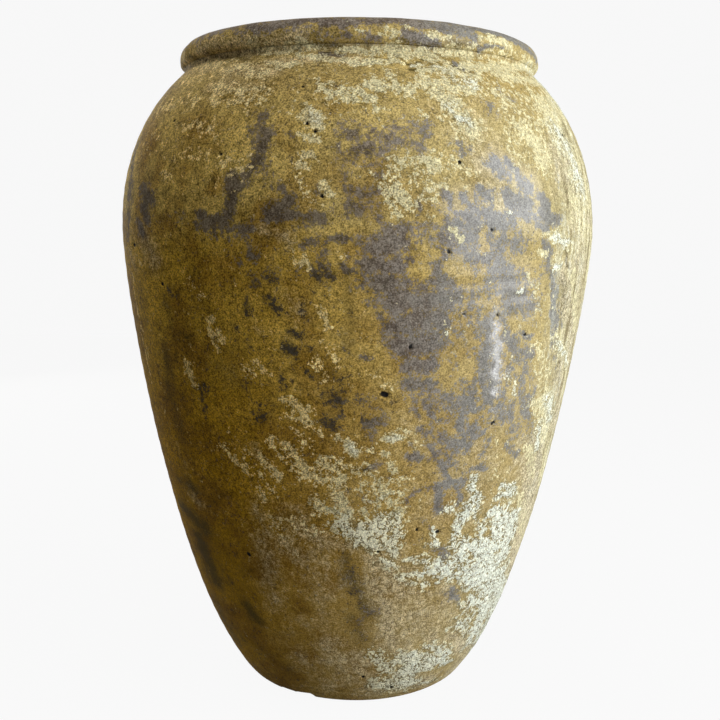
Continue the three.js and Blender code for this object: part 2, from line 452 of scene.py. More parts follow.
def arc(middle, width, height, start, stop, steps):
    return [
        (middle[0] + width * math.cos(a), middle[1] + height * math.sin(a))
        for a in np.linspace(math.radians(start), math.radians(stop), steps + 1)
    ]


collar_mouth = MOUTH + RIM_EASE
collar_lip = (collar_mouth, COLLAR_TOP - COLLAR_LIP)
collar_pull = (collar_mouth + COLLAR_PULL[0], COLLAR_TOP + COLLAR_PULL[1])
sections["neck_collar"] = [
    seat_point(COLLAR_RADIUS), (COLLAR_RADIUS, COLLAR_TOP), (collar_mouth, COLLAR_TOP),
    *bow(collar_lip, collar_pull, seat_inside, COLLAR_ROWS),
]
sections["neck_fillet"] = [
    seat_point(COLLAR_RADIUS),
    *bow(seat_edge, FILLET_PULL, FILLET_TOP, FILLET_ROWS),
    (COLLAR_RADIUS, COLLAR_TOP),
]
waist = COLLAR_TOP + RIM_EASE
land = math.degrees(math.asin(RIM_LAND / RIM_WIDTH))
crown = (JAR_TOP - waist) / math.cos(math.radians(land))
rim_middle = (RIM_RADIUS - RIM_WIDTH / 2, waist)
sections["rim_roll"] = [
    *arc((RIM_RADIUS - RIM_EASE, waist), RIM_EASE, RIM_EASE, -90, 0, EASE_ROWS),
    *arc(rim_middle, RIM_WIDTH / 2, crown, 0, 90 - land, CROWN_ROWS)[1:],
    *arc(rim_middle, RIM_WIDTH / 2, crown, 90 + land, 180, CROWN_ROWS),
    *arc((MOUTH + RIM_EASE, waist), RIM_EASE, RIM_EASE, 180, 270, EASE_ROWS)[1:],
]
print("rim points:", len(sections["rim_roll"]), " mouth", round(2 * MOUTH, 3), "m across")

# %% [markdown]
# ## Turning the sections into rings
# Each section becomes a small mesh of points, the tree is put on it as a modifier with its inputs set,
# and the result is taken off as a plain mesh. The walls share one number of segments so that their edges
# meet. Coils are pressed on by hand, so they get thumb dents, and fillet and rim were wiped and rolled by
# hand, so they wobble more.

# %% Rings
WALL_SEGMENTS, COIL_SEGMENTS = 864, 360
TRUE_WOBBLE, HAND_WOBBLE = (0.0018, 0.11), (0.0045, 0.035)
RIDGE_HEIGHT, RIDGE_PITCH = 0.00012, 0.0165
THUMB_DENTS, DENT_DEPTH = 46, 0.0011

worn_clay = bpy.data.materials.new("worn_ochre_slip")
bare_clay = bpy.data.materials.new("bare_fired_clay")
pale_clay = bpy.data.materials.new("pale_wiped_slip")


def ring_material(name):
    if name == "neck_fillet":
        return pale_clay
    return bare_clay if name.endswith("coil") or name == "neck_collar" else worn_clay


pieces = {}
for name, section in sections.items():
    coil = name.endswith("coil")
    wobble, wobble_size = HAND_WOBBLE if name in ("neck_fillet", "rim_roll") else TRUE_WOBBLE
    points = bpy.data.meshes.new(name + "_clay")
    points.from_pydata([(r, 0, z) for r, z in section], [], [])
    pieces[name] = bpy.data.objects.new(points.name, points)
    bpy.context.scene.collection.objects.link(pieces[name])
    apply_tree(pieces[name], ring_tree, ring_keys, {
        "Segments": COIL_SEGMENTS if coil else WALL_SEGMENTS,
        "Closed section": 0 if name == "floor_slab" else 1,
        "Wobble": wobble, "Wobble size": wobble_size,
        "Ridge": RIDGE_HEIGHT, "Ridge pitch": RIDGE_PITCH,
        "Thumb dents": THUMB_DENTS if coil else 0, "Dent depth": DENT_DEPTH if coil else 0.0,
        "Material": ring_material(name),
    })
    print(name, len(pieces[name].data.polygons), "faces")

# %% [markdown]
# ## Marks of age, painted as strokes
# The slip has worn through to a dark skin in some places, dust and lime have crusted in others, and a
# thin beige veil or a brown stain lies over the rest. Some skin is polished, and there are pits and
# gouges. Each layer is a list of short strokes, laid over the photograph and corrected against it: from
# pixel, to pixel, half width in pixels and strength. A ray from the camera carries each end to the wall,
# so a stroke becomes an angle round the jar and a height, and stays on the clay in every view.
# A negative strength takes a layer away again.
# Some veil and dust strokes on the right also pale the lit side, as painted light, and some stain and skin
# strokes darken the shade side, the crease under the rim and the gouges, as painted shade.

# %% From a pixel to the wall
REACH_STEPS = 1500
NEAR, FAR = 0.7, 1.4
LIMB_COSINE = 0.28

rim_side = [(r, z) for r, z in sections["rim_roll"] if r >= RIM_RADIUS - RIM_WIDTH / 2]
full_outline = np.vstack([outline, [FILLET_TOP], rim_side])
full_outline = full_outline[np.argsort(full_outline[:, 1], kind="stable")]
to_world = np.array(camera.matrix_world)


def outside_radius(height):
    return np.interp(height, full_outline[:, 1], full_outline[:, 0])


def on_jar(x, y):
    """Angle round the jar (0 towards the camera), height and metres per pixel where a pixel meets it."""
    middle = PHOTO_PIXELS / 2
    ray = to_world[:3, :3] @ np.array([(x - middle) / FOCAL_PIXELS, (middle - y) / FOCAL_PIXELS, -1.0])
    reach = np.linspace(NEAR, FAR, REACH_STEPS)
    points = to_world[:3, 3] + reach[:, None] * ray
    gap = np.hypot(points[:, 0], points[:, 1]) - outside_radius(points[:, 2])
    hit = int(np.argmax(gap < 0)) if (gap < 0).any() else int(np.argmin(gap))
    px, py, pz = points[hit]
    return math.atan2(px, -py), pz, reach[hit] / FOCAL_PIXELS


def from_photo(strokes):
    """Strokes from pixels to two ends in angle and height, half width in metres, limb and strength.

    The limb is how far the wall turns away there. It keeps a stroke as wide as it was laid.
    """
    laid = []
    for x0, y0, x1, y1, half, strength in strokes:
        (a0, z0, scale), (a1, z1, _) = on_jar(x0, y0), on_jar(x1, y1)
        limb = max(LIMB_COSINE, math.cos((a0 + a1) / 2))
        laid.append((a0, z0, a1, z1, half * scale, limb, strength))
    return laid


def soften(strokes, wider, weaker):
    return [(*ends, wider * half, weaker * strength) for *ends, half, strength in strokes]


print("centre of the photo lies at", [round(float(v), 3) for v in on_jar(360, 360)])

# %% [markdown]
# Dark skin lies on the rim, in smears on the shoulder, in the big patch right of the middle and in spots
# on the left. Smears and spots are softened, and get a brown halo that joins the stain. The band on the
# rim goes all round, so it is laid by angle and height.

# %% Strokes of dark fired skin
# Dark skin on the rim. Three strokes, in the gouges under the rim, are painted shade in those holes.
RIM_SKIN_AND_GOUGE_SHADE = [
    (412, 40, 438, 44, 6, .6), (380, 38, 480, 44, 7, .34), (406, 38, 424, 46, 5, .6),
    (470, 38, 482, 48, 4, .6), (300, 36, 380, 38, 6, .36), (215, 38, 250, 29, 4, .42),
    (250, 28, 300, 23, 5, 1), (300, 22, 345, 20, 5, 1), (345, 21, 400, 21, 5, 1), (400, 22, 440, 25, 5, 1),
    (440, 26, 480, 30, 5, 1), (480, 31, 515, 40, 4, 1), (346, 30, 354, 36, 3, .7), (454, 63, 468, 68, 3, .9),
    (404, 34, 436, 41, 6, .84), (446, 31, 478, 36, 4, .9), (362, 31, 382, 36, 2, .7),
    (448, 32, 475, 34, 4, .8), (516, 42, 536, 60, 4, .95), (232, 37, 246, 36, 4, .6),
    (476, 40, 480, 46, 4, .6), (480, 49, 506, 51, 2, .85), (322, 53, 346, 55, 3, .9),
    (256, 33, 330, 30, 3, .5),
]
LEFT_SKIN = [
    (262, 165, 272, 190, 9, .36), (205, 226, 250, 228, 8, .68), (212, 235, 246, 237, 6, .56),
    (160, 216, 190, 222, 6, .28), (139, 140, 130, 200, 5, .65), (130, 200, 128, 238, 5, .65),
    (143, 188, 150, 202, 6, .9), (145, 205, 146, 218, 6, .9), (138, 224, 141, 233, 5, .95),
    (262, 118, 258, 150, 11, .62), (268, 138, 260, 150, 8, .9), (250, 130, 252, 150, 5, .6),
    (255, 160, 240, 190, 8, .95), (236, 178, 231, 200, 8, .95), (233, 200, 225, 215, 7, .9),
    (200, 215, 226, 218, 6, .95), (198, 226, 212, 226, 6, .9), (224, 222, 250, 230, 8, .42),
    (280, 190, 284, 200, 5, .8), (290, 202, 268, 215, 8, .95), (296, 212, 264, 222, 6, .9),
    (270, 165, 262, 182, 3, .55), (306, 216, 322, 220, 6, .8), (300, 226, 330, 212, 4, .45),
    (316, 186, 318, 192, 4, .7), (292, 132, 296, 140, 4, .5), (350, 138, 412, 146, 18, .5),
    (310, 240, 340, 236, 5, .6), (308, 247, 326, 247, 7, .6),
]
SHOULDER_SKIN = [
    (345, 137, 360, 134, 6, .85), (372, 136, 392, 140, 6, .8), (396, 130, 425, 128, 8, .7),
    (400, 141, 418, 143, 5, .85), (338, 148, 342, 160, 6, .7), (350, 150, 372, 148, 6, .85),
    (366, 152, 390, 146, 5, .75), (345, 160, 375, 162, 7, .5), (360, 168, 376, 164, 5, .45),
    (395, 152, 410, 156, 4, .55), (345, 172, 350, 178, 5, .5), (378, 170, 380, 184, 4, .7),
    (348, 188, 362, 190, 5, .85), (362, 196, 374, 192, 6, .85), (350, 205, 362, 212, 7, .9),
    (346, 214, 356, 214, 4, .8), (370, 205, 376, 208, 4, .6), (376, 216, 380, 222, 3, .7),
    (416, 204, 418, 216, 3, .9), (424, 190, 426, 194, 4, .5), (430, 205, 440, 212, 6, .5),
    (448, 140, 450, 146, 4, .5), (462, 148, 467, 152, 5, .7), (486, 106, 492, 112, 6, .6),
    (504, 96, 512, 98, 5, .6), (495, 152, 502, 156, 5, .5),
]
GREY_SKIN = [
    (446, 192, 452, 202, 6, .8), (450, 206, 455, 200, 4, .7), (466, 196, 468, 206, 5, .9),
    (462, 212, 476, 222, 9, .95), (484, 192, 488, 198, 6, .9), (480, 210, 500, 216, 8, .95),
    (490, 222, 505, 226, 8, .95), (452, 224, 475, 228, 8, .9), (440, 238, 470, 238, 7, .8),
    (496, 163, 504, 174, 8, .85), (508, 162, 516, 172, 5, .9), (504, 194, 508, 202, 6, .95),
    (520, 182, 530, 190, 7, .9), (515, 200, 530, 206, 8, .9), (520, 212, 535, 218, 7, .8),
    (541, 196, 545, 206, 6, .95), (540, 212, 556, 220, 7, .95), (536, 226, 545, 226, 5, .8),
    (505, 205, 512, 220, 8, .95), (500, 236, 512, 242, 7, .7),
]
PATCH_SKIN = [
    (384, 232, 404, 231, 8, .9), (404, 229, 470, 228, 6, .46), (374, 246, 402, 244, 12, 1),
    (368, 266, 398, 266, 11, 1), (378, 286, 440, 284, 12, 1), (394, 304, 450, 300, 13, 1),
    (396, 324, 444, 322, 13, 1), (400, 345, 432, 345, 11, 1), (406, 365, 430, 365, 10, .95),
    (411, 382, 432, 386, 9, .85), (415, 400, 440, 402, 8, .6), (412, 238, 446, 244, 9, .48),
    (404, 262, 412, 262, 7, .62), (434, 268, 450, 288, 9, .85), (452, 300, 462, 322, 8, .62),
    (438, 250, 446, 262, 6, .7), (440, 335, 446, 350, 7, .6), (344, 264, 352, 270, 4, .85),
    (350, 256, 362, 262, 5, .55), (332, 237, 345, 238, 4, .8), (362, 286, 378, 290, 7, .7),
    (372, 302, 382, 316, 6, .6), (384, 330, 390, 345, 6, .5), (348, 308, 352, 312, 3, .6),
    (340, 348, 346, 352, 4, .6), (362, 356, 368, 358, 3, .6), (488, 238, 500, 250, 7, .7),
    (352, 240, 366, 246, 6, .55),
]
RIGHT_SKIN = [
    (462, 252, 498, 264, 15, .8), (506, 268, 530, 284, 9, .64), (452, 208, 462, 216, 6, .5),
    (524, 392, 530, 430, 6, .42), (455, 238, 520, 244, 14, .69), (470, 262, 505, 290, 18, .6),
    (500, 280, 528, 310, 14, .75), (470, 300, 480, 330, 14, .58), (455, 310, 470, 360, 12, .48),
    (440, 345, 475, 385, 14, .42), (490, 320, 494, 395, 10, .85), (515, 340, 525, 360, 9, .68),
    (505, 360, 530, 400, 12, .55), (470, 385, 500, 415, 14, .6), (440, 395, 470, 420, 14, .58),
    (440, 425, 450, 470, 14, .58), (545, 245, 552, 275, 7, .7), (552, 275, 556, 345, 4, .78),
    (482, 282, 478, 300, 5, .55), (498, 280, 505, 295, 7, .62), (512, 288, 520, 300, 7, .75),
    (505, 300, 515, 316, 8, .75), (498, 310, 508, 340, 7, .7), (484, 352, 486, 392, 7, .85),
    (478, 380, 470, 400, 7, .7), (512, 343, 530, 352, 7, .8), (524, 332, 528, 336, 3, .95),
    (526, 365, 532, 380, 5, .6), (500, 390, 485, 400, 8, .7), (466, 340, 470, 352, 5, .75),
    (440, 342, 456, 344, 4, .7), (430, 375, 440, 390, 6, .5), (450, 392, 460, 400, 7, .6),
    (544, 250, 548, 270, 4, .8), (545, 270, 556, 290, 5, .65), (552, 290, 553, 345, 2.5, .75),
    (560, 300, 562, 325, 2, .5), (556, 345, 555, 380, 2.5, .5), (538, 280, 540, 298, 3, .5),
    (460, 300, 470, 330, 8, .45), (510, 250, 512, 262, 5, .5),
]
LOWER_SKIN = [
    (424, 402, 436, 412, 6, .75), (414, 410, 420, 418, 5, .6), (430, 395, 450, 400, 7, .6),
    (446, 410, 456, 404, 6, .6), (462, 398, 474, 410, 8, .9), (470, 420, 476, 434, 7, .85),
    (458, 424, 466, 436, 6, .75), (464, 440, 470, 444, 4, .8), (422, 432, 434, 428, 4, .75),
    (440, 438, 460, 446, 7, .7), (430, 446, 436, 456, 5, .85), (408, 460, 424, 456, 5, .9),
    (418, 462, 440, 458, 4, .6), (410, 448, 414, 450, 4, .5), (442, 464, 448, 480, 7, .85),
    (440, 486, 460, 480, 6, .9), (436, 490, 440, 508, 5, .9), (454, 488, 458, 500, 5, .85),
    (460, 472, 480, 466, 5, .45), (482, 466, 486, 470, 4, .7), (508, 446, 516, 452, 5, .8),
    (510, 402, 516, 440, 7, .62), (524, 400, 528, 416, 6, .68), (488, 440, 482, 452, 4, .5),
    (350, 472, 380, 464, 3, .75), (366, 468, 378, 458, 4, .5), (384, 476, 388, 478, 3, .6),
    (362, 492, 368, 500, 4, .5), (408, 500, 414, 492, 4, .75), (404, 508, 406, 500, 2, .6),
    (420, 488, 428, 492, 4, .5), (424, 520, 428, 526, 4, .5), (438, 548, 444, 558, 5, .6),
    (348, 562, 354, 580, 7, .36), (352, 587, 362, 600, 8, .42), (360, 600, 368, 612, 9, .46),
    (358, 620, 362, 642, 6, .34), (450, 590, 454, 596, 4, .85), (444, 594, 460, 604, 4, .5),
]
SPOT_SKIN = [
    (250, 255, 253, 258, 5, .9), (240, 266, 243, 268, 3, .6), (248, 275, 256, 276, 2.5, .65),
    (256, 283, 259, 286, 3, .7), (266, 272, 276, 270, 3, .65), (268, 278, 274, 280, 4, .75),
    (270, 300, 278, 308, 5, .85), (246, 304, 248, 314, 4, .75), (234, 325, 236, 336, 4, .6),
    (292, 330, 296, 334, 4, .8), (286, 348, 294, 352, 5, .85), (246, 340, 250, 348, 4, .6),
    (310, 348, 313, 350, 2.5, .7), (308, 374, 312, 380, 3, .65), (280, 374, 283, 384, 3, .65),
    (248, 386, 248, 390, 5, .45), (196, 386, 206, 387, 4, .6), (202, 394, 203, 410, 3, .55),
    (313, 272, 317, 278, 4, .85), (324, 266, 330, 275, 5, .85), (322, 256, 328, 262, 4, .65),
    (300, 270, 298, 276, 3, .5), (308, 290, 310, 292, 2, .6), (302, 305, 304, 318, 3, .5),
    (270, 403, 276, 406, 4, .55), (258, 412, 266, 416, 5, .8), (326, 418, 332, 422, 5, .75),
    (334, 425, 338, 428, 4, .65), (334, 375, 338, 390, 4, .5), (328, 396, 336, 402, 5, .8),
    (340, 382, 344, 392, 3, .62), (335, 405, 340, 415, 3, .58), (360, 402, 376, 408, 6, .55),
    (366, 420, 380, 424, 5, .8), (376, 430, 384, 418, 4, .7), (370, 432, 374, 436, 3, .7),
    (140, 285, 145, 325, 4, .4), (170, 290, 174, 300, 3, .5),
]
BARE_OCHRE = [
    (262, 228, 285, 233, 6, -.4), (445, 212, 458, 214, 6, -.15), (458, 200, 462, 206, 4, -.9),
    (496, 202, 500, 206, 4, -.9), (480, 236, 481, 250, 4, -.8), (424, 246, 426, 250, 5, -.5),
    (412, 273, 428, 270, 5, -.65), (402, 284, 440, 285, 6, -.4), (418, 268, 426, 276, 4, -.6),
    (456, 256, 462, 262, 4, -.4), (448, 268, 476, 272, 7, -.42), (495, 262, 510, 256, 5, -.15),
    (506, 326, 520, 320, 5, -.6), (455, 350, 478, 340, 5, -.45), (440, 356, 462, 352, 5, -.6),
    (445, 368, 468, 366, 6, -.65), (442, 376, 450, 380, 5, -.5), (455, 310, 462, 335, 8, -.2),
    (346, 146, 347, 148, 4, -.8), (424, 452, 424, 454, 4, -.9), (471, 418, 471, 420, 3, -.9),
    (452, 470, 454, 476, 4, -.8), (448, 494, 452, 498, 4, -.7), (440, 426, 446, 428, 4, -.8),
]
SOFT_SKIN = soften(SPOT_SKIN, wider=1.45, weaker=0.8) + soften(SHOULDER_SKIN, wider=1.3, weaker=0.78)
SOFT_HALO = soften(SPOT_SKIN, wider=2.0, weaker=0.5) + soften(SHOULDER_SKIN, wider=1.8, weaker=0.4)
BAND_HEIGHT, BAND_HALF, BAND_STRENGTH, BAND_STEP = 0.677, 0.0075, 0.74, 30
RIM_BAND = [
    (a, BAND_HEIGHT, a + math.radians(BAND_STEP), BAND_HEIGHT, BAND_HALF, 1.0, BAND_STRENGTH)
    for a in np.radians(range(-180, 180, BAND_STEP))
]
skin_marks = RIM_SKIN_AND_GOUGE_SHADE + LEFT_SKIN + SOFT_SKIN + GREY_SKIN + PATCH_SKIN + RIGHT_SKIN + LOWER_SKIN + BARE_OCHRE
layers = {"skin": RIM_BAND + from_photo(skin_marks)}
print(len(layers["skin"]), "strokes of dark skin")

# %% [markdown]
# Dust and lime dried where water ran off: dust on neck, shoulder and right side, lime crust mostly low
# down on the right. The last strokes of lime take it away again where ochre shows between.

# %% Strokes of lime dust
NECK_DUST = [
    (186, 65, 300, 66, 6, .56), (300, 62, 380, 60, 5, .56), (262, 52, 300, 50, 4, .75),
    (300, 54, 345, 62, 5, .8), (345, 50, 400, 50, 6, .85), (345, 62, 400, 60, 5, .85),
    (400, 54, 470, 54, 7, .8), (470, 54, 530, 64, 7, .52), (270, 62, 300, 66, 5, .72),
    (430, 62, 450, 66, 6, .85), (470, 66, 536, 72, 7, .95), (200, 70, 270, 70, 8, .52),
    (215, 88, 262, 90, 12, .60), (180, 84, 205, 80, 6, .45), (322, 88, 345, 92, 8, .74),
    (345, 84, 372, 100, 8, .76), (372, 84, 408, 88, 9, .85), (388, 75, 402, 84, 6, .7),
    (385, 66, 395, 74, 5, .5), (405, 96, 420, 92, 5, .5), (340, 100, 375, 104, 6, .68),
    (424, 70, 480, 76, 8, .88), (420, 84, 470, 90, 10, .82), (470, 84, 495, 84, 6, .42),
    (500, 76, 540, 84, 8, .8), (510, 92, 530, 100, 6, .6), (540, 80, 560, 120, 14, .95),
    (384, 30, 396, 36, 4, .85), (430, 33, 446, 36, 4, .8), (406, 29, 416, 31, 3, .7),
    (356, 29, 366, 31, 2, .6), (446, 42, 476, 46, 4, .42), (486, 40, 512, 46, 5, .82),
    (508, 50, 526, 57, 4, .6), (248, 44, 330, 46, 5, .64),
]
SHOULDER_DUST = [
    (400, 180, 440, 185, 12, .58), (415, 200, 436, 196, 8, .6), (160, 108, 190, 102, 9, .55),
    (218, 100, 262, 98, 9, .58), (150, 132, 205, 158, 16, .36), (180, 126, 208, 128, 7, .5),
    (205, 128, 242, 172, 13, .44), (222, 164, 240, 158, 8, .62), (296, 100, 322, 172, 15, .22),
    (306, 112, 322, 120, 8, .95), (304, 133, 314, 137, 5, .9), (302, 154, 308, 156, 5, .8),
    (298, 166, 306, 168, 6, .7), (322, 184, 328, 196, 5, .9), (320, 90, 376, 108, 13, .55),
    (384, 90, 410, 96, 8, .5), (440, 92, 470, 128, 15, .85), (420, 112, 440, 122, 8, .4),
    (398, 162, 440, 166, 12, .68), (440, 160, 474, 170, 11, .58), (396, 190, 404, 204, 8, .9),
    (384, 182, 394, 212, 8, .74), (500, 104, 522, 160, 13, .48), (524, 128, 545, 162, 14, .85),
    (548, 112, 586, 200, 18, .95), (160, 174, 166, 178, 5, .6), (190, 153, 203, 162, 8, .45),
    (484, 92, 505, 100, 9, .42), (504, 100, 540, 128, 12, .68), (510, 130, 530, 150, 10, .48),
    (535, 165, 555, 185, 8, .3), (205, 172, 226, 192, 9, .36), (366, 171, 376, 180, 7, .48),
    (306, 194, 316, 206, 6, .5), (296, 180, 304, 194, 7, .45), (455, 172, 480, 186, 12, .36),
    (414, 208, 428, 218, 8, .55),
]
# Partly dust, partly painted light: the strokes down the right limb pale the lit side.
RIGHT_DUST_AND_LIGHT = [
    (577, 200, 588, 285, 11, .85), (550, 232, 572, 250, 9, .68), (566, 205, 572, 225, 6, .5),
    (530, 278, 536, 310, 7, .46), (546, 292, 560, 330, 8, .35), (573, 270, 575, 330, 6, .8),
    (560, 334, 568, 400, 8, .8), (536, 345, 545, 390, 8, .6), (541, 400, 550, 482, 10, .85),
    (510, 490, 526, 545, 13, .58), (526, 446, 532, 470, 7, .65), (455, 236, 530, 430, 26, .16),
    (452, 230, 459, 238, 5, .7), (500, 440, 505, 480, 14, .32), (540, 256, 560, 262, 6, .6),
    (466, 248, 480, 256, 5, .3),
]
BELLY_DUST = [
    (366, 446, 386, 458, 8, .55), (272, 522, 292, 548, 10, .48), (210, 320, 215, 347, 7, .76),
    (184, 276, 198, 292, 8, .4), (220, 331, 222, 342, 5, .7), (188, 364, 194, 380, 6.5, .72),
    (272, 520, 332, 530, 12, .45), (132, 275, 149, 360, 1.2, .7), (140, 330, 152, 384, 1.2, .7),
    (452, 322, 470, 338, 8, .36), (360, 470, 400, 495, 12, .5), (388, 466, 400, 484, 8, .58),
    (378, 504, 390, 518, 7, .55), (222, 448, 246, 470, 7, .58), (296, 252, 308, 260, 5, .4),
    (294, 263, 310, 268, 5, .5), (312, 306, 330, 322, 6, .55), (324, 316, 331, 324, 4, .75),
    (324, 340, 334, 360, 7, .55), (320, 364, 326, 384, 7, .5), (316, 424, 326, 436, 7, .5),
    (330, 354, 336, 362, 4, .8), (312, 366, 318, 372, 4, .6), (246, 368, 256, 376, 5, .65),
    (258, 362, 268, 374, 5, .75), (288, 400, 306, 412, 7, .8), (288, 418, 310, 420, 5, .65),
    (300, 430, 306, 440, 6, .7), (272, 440, 292, 448, 5, .65), (264, 442, 290, 460, 6, .5),
    (292, 455, 308, 476, 9, .75), (262, 460, 278, 476, 8, .68), (245, 452, 255, 470, 6, .45),
    (262, 480, 266, 500, 6, .55), (270, 486, 276, 492, 5, .65), (228, 430, 232, 434, 4, .5),
    (320, 460, 335, 470, 8, .78), (318, 480, 345, 500, 12, .62), (312, 505, 345, 515, 8, .75),
    (340, 478, 345, 512, 7, .82), (344, 440, 356, 448, 6, .8), (384, 438, 398, 440, 5, .9),
    (382, 452, 386, 456, 4, .85), (336, 458, 350, 472, 6, .65), (400, 480, 408, 478, 4, .75),
    (378, 484, 386, 488, 5, .7), (376, 498, 392, 494, 4, .85), (386, 500, 392, 508, 5, .65),
    (364, 508, 368, 514, 5, .8), (394, 514, 400, 510, 5, .75), (355, 470, 400, 520, 14, .56),
    (134, 250, 140, 262, 3, .5), (362, 370, 374, 374, 6, .45), (384, 384, 392, 388, 5, .6),
    (338, 250, 344, 256, 5, .3), (400, 434, 418, 446, 8, .45),
]
layers["dust"] = from_photo(NECK_DUST + SHOULDER_DUST + RIGHT_DUST_AND_LIGHT + BELLY_DUST)
print(len(layers["dust"]), "strokes of dust")

# %% Strokes of lime crust
HIGH_LIME = [
    (411, 63, 427, 64, 1.5, .5), (442, 72, 470, 80, 8, .45), (448, 106, 466, 122, 7, .5),
    (310, 110, 319, 118, 4, .5), (556, 130, 582, 190, 9, .5), (554, 236, 570, 246, 5, .55),
    (554, 270, 563, 267, 2.5, .8), (546, 400, 550, 418, 6, .6), (540, 425, 535, 450, 6, .5),
    (508, 376, 513, 392, 3, .4), (560, 340, 566, 366, 5, .5), (508, 214, 509, 215, 2, 1),
    (540, 78, 570, 110, 9, .5), (446, 336, 452, 330, 2, .7), (518, 292, 519, 291, 2, .7),
]
LOW_LIME = [
    (347, 441, 356, 447, 4, .5), (387, 439, 398, 440, 4, .6), (338, 520, 352, 534, 7, .72),
    (360, 535, 380, 525, 11, .92), (385, 538, 396, 542, 8, .66), (372, 545, 395, 550, 8, .78),
    (395, 518, 400, 535, 5, .75), (380, 560, 396, 565, 5, .6), (405, 560, 425, 556, 3, .65),
    (405, 575, 430, 572, 3, .6), (432, 526, 433, 538, 3, .6), (428, 545, 436, 544, 4, .75),
    (446, 508, 455, 505, 5, .5), (436, 566, 450, 574, 8, .66), (330, 508, 345, 514, 5, .45),
    (378, 497, 392, 494, 2.5, .6),
]
CRUST_LIME = [
    (500, 585, 480, 640, 9, .75), (488, 600, 470, 640, 8, .7), (472, 575, 500, 600, 12, .92),
    (507, 540, 514, 515, 8, .88), (455, 560, 442, 572, 7, .6), (424, 562, 440, 578, 6, .52),
    (400, 578, 425, 585, 5, .4), (402, 670, 430, 665, 8, .92), (400, 655, 436, 660, 6, .85),
    (380, 660, 400, 664, 5, .6), (480, 500, 476, 520, 5, .7), (474, 478, 472, 486, 5, .75),
    (474, 495, 466, 515, 6, .9), (462, 521, 470, 510, 5, .8), (458, 525, 452, 545, 6, .7),
    (465, 540, 460, 560, 9, .78), (480, 545, 490, 565, 12, .88), (500, 520, 496, 545, 9, .95),
    (495, 510, 505, 515, 8, .76), (505, 485, 512, 492, 6, .78), (500, 496, 506, 494, 4, .75),
    (500, 560, 505, 550, 8, .95), (480, 570, 500, 575, 10, .85), (468, 570, 490, 590, 9, .8),
    (470, 600, 490, 605, 9, .7), (462, 620, 470, 630, 8, .55), (430, 645, 445, 655, 7, .6),
    (395, 660, 420, 668, 5, .95), (402, 674, 425, 667, 5, 1.0), (425, 664, 440, 660, 4, .95),
    (370, 655, 390, 670, 9, .46), (440, 658, 448, 662, 3, .8), (385, 668, 395, 675, 6, .5),
    (380, 683, 414, 682, 9, .74), (420, 683, 436, 680, 3, .6), (484, 528, 478, 536, 8, .6),
]
CLEAN_OCHRE = [
    (408, 526, 422, 550, 8, -.6), (418, 676, 438, 668, 4, -.8), (470, 522, 476, 532, 4, -.6),
    (448, 588, 456, 598, 5, -.7), (384, 552, 388, 555, 4, -.6), (486, 508, 480, 518, 4, -.6),
]
layers["lime"] = from_photo(HIGH_LIME + LOW_LIME + CRUST_LIME + CLEAN_OCHRE)
print(len(layers["lime"]), "strokes of lime crust")

# %% [markdown]
# The veil is a thin beige film; its broad strokes over the right side and along the right limb also pale
# the lit side, as painted light. The stain soaked in and is brown; its strokes on the left, mostly low down,
# also darken the shade side, and others paint the shadow in the crease under the rim and on the lips of
# the gouges, as painted shade. The shine is skin that is rubbed smooth. Pits are small round holes,
# painted near black as painted shade, and gouges are the chips under the rim and at the foot.

# %% Strokes of veil, stain, shine, pits and gouges
# Partly a beige film, partly painted light: the broad strokes over the right side and along the right limb
# pale the lit side.
VEIL_AND_LIGHT = [
    (376, 683, 428, 680, 10, 1), (452, 634, 462, 650, 9, .85), (236, 47, 284, 42, 7, .75),
    (200, 50, 262, 40, 8, .72), (262, 40, 304, 38, 8, .7), (142, 234, 156, 266, 10, .7),
    (262, 232, 292, 240, 8, .6), (284, 290, 298, 310, 10, .35), (262, 535, 276, 600, 13, .6),
    (278, 590, 302, 650, 12, .3), (300, 655, 330, 688, 12, .5), (290, 520, 330, 545, 14, .6),
    (280, 540, 306, 556, 10, .6), (344, 546, 374, 554, 9, .6), (256, 505, 268, 535, 9, .6),
    (376, 580, 392, 640, 12, .75), (396, 590, 436, 640, 18, .6), (330, 645, 380, 690, 16, .65),
    (318, 560, 336, 600, 10, .3), (340, 500, 372, 560, 9, .7), (372, 556, 404, 582, 10, .7),
    (300, 620, 330, 650, 10, .36), (470, 120, 500, 200, 30, .42), (500, 300, 496, 420, 34, .16),
    (480, 470, 470, 520, 30, .42), (440, 600, 440, 650, 26, .36), (550, 420, 530, 500, 11, 1),
    (528, 500, 500, 600, 12, 1), (498, 600, 450, 680, 11, 1), (200, 68, 270, 70, 9, .6),
    (215, 86, 262, 84, 10, .4), (565, 150, 586, 260, 18, .85), (574, 280, 556, 420, 16, .85),
    (540, 440, 500, 600, 16, .85), (410, 430, 420, 540, 24, .28), (320, 560, 330, 690, 26, .36),
    (280, 560, 290, 640, 18, .24), (400, 560, 400, 690, 30, .50), (188, 66, 268, 68, 7, .5),
    (268, 62, 360, 60, 6, .7), (208, 88, 236, 84, 8, .6), (254, 326, 262, 330, 6, .5),
    (288, 240, 294, 250, 6, .45), (130, 250, 136, 268, 4, .6), (252, 448, 258, 462, 6, .5),
    (190, 494, 200, 504, 6, .55), (176, 445, 186, 470, 6, .35), (300, 560, 325, 540, 14, .55),
    (262, 540, 300, 560, 12, .4), (330, 660, 370, 690, 18, .6), (384, 580, 430, 630, 24, .62),
    (390, 640, 420, 670, 16, .6), (366, 556, 382, 580, 10, .62), (440, 590, 450, 630, 12, .5),
    (355, 540, 365, 552, 8, .6), (276, 518, 292, 536, 9, .5), (470, 440, 500, 470, 14, .35),
]
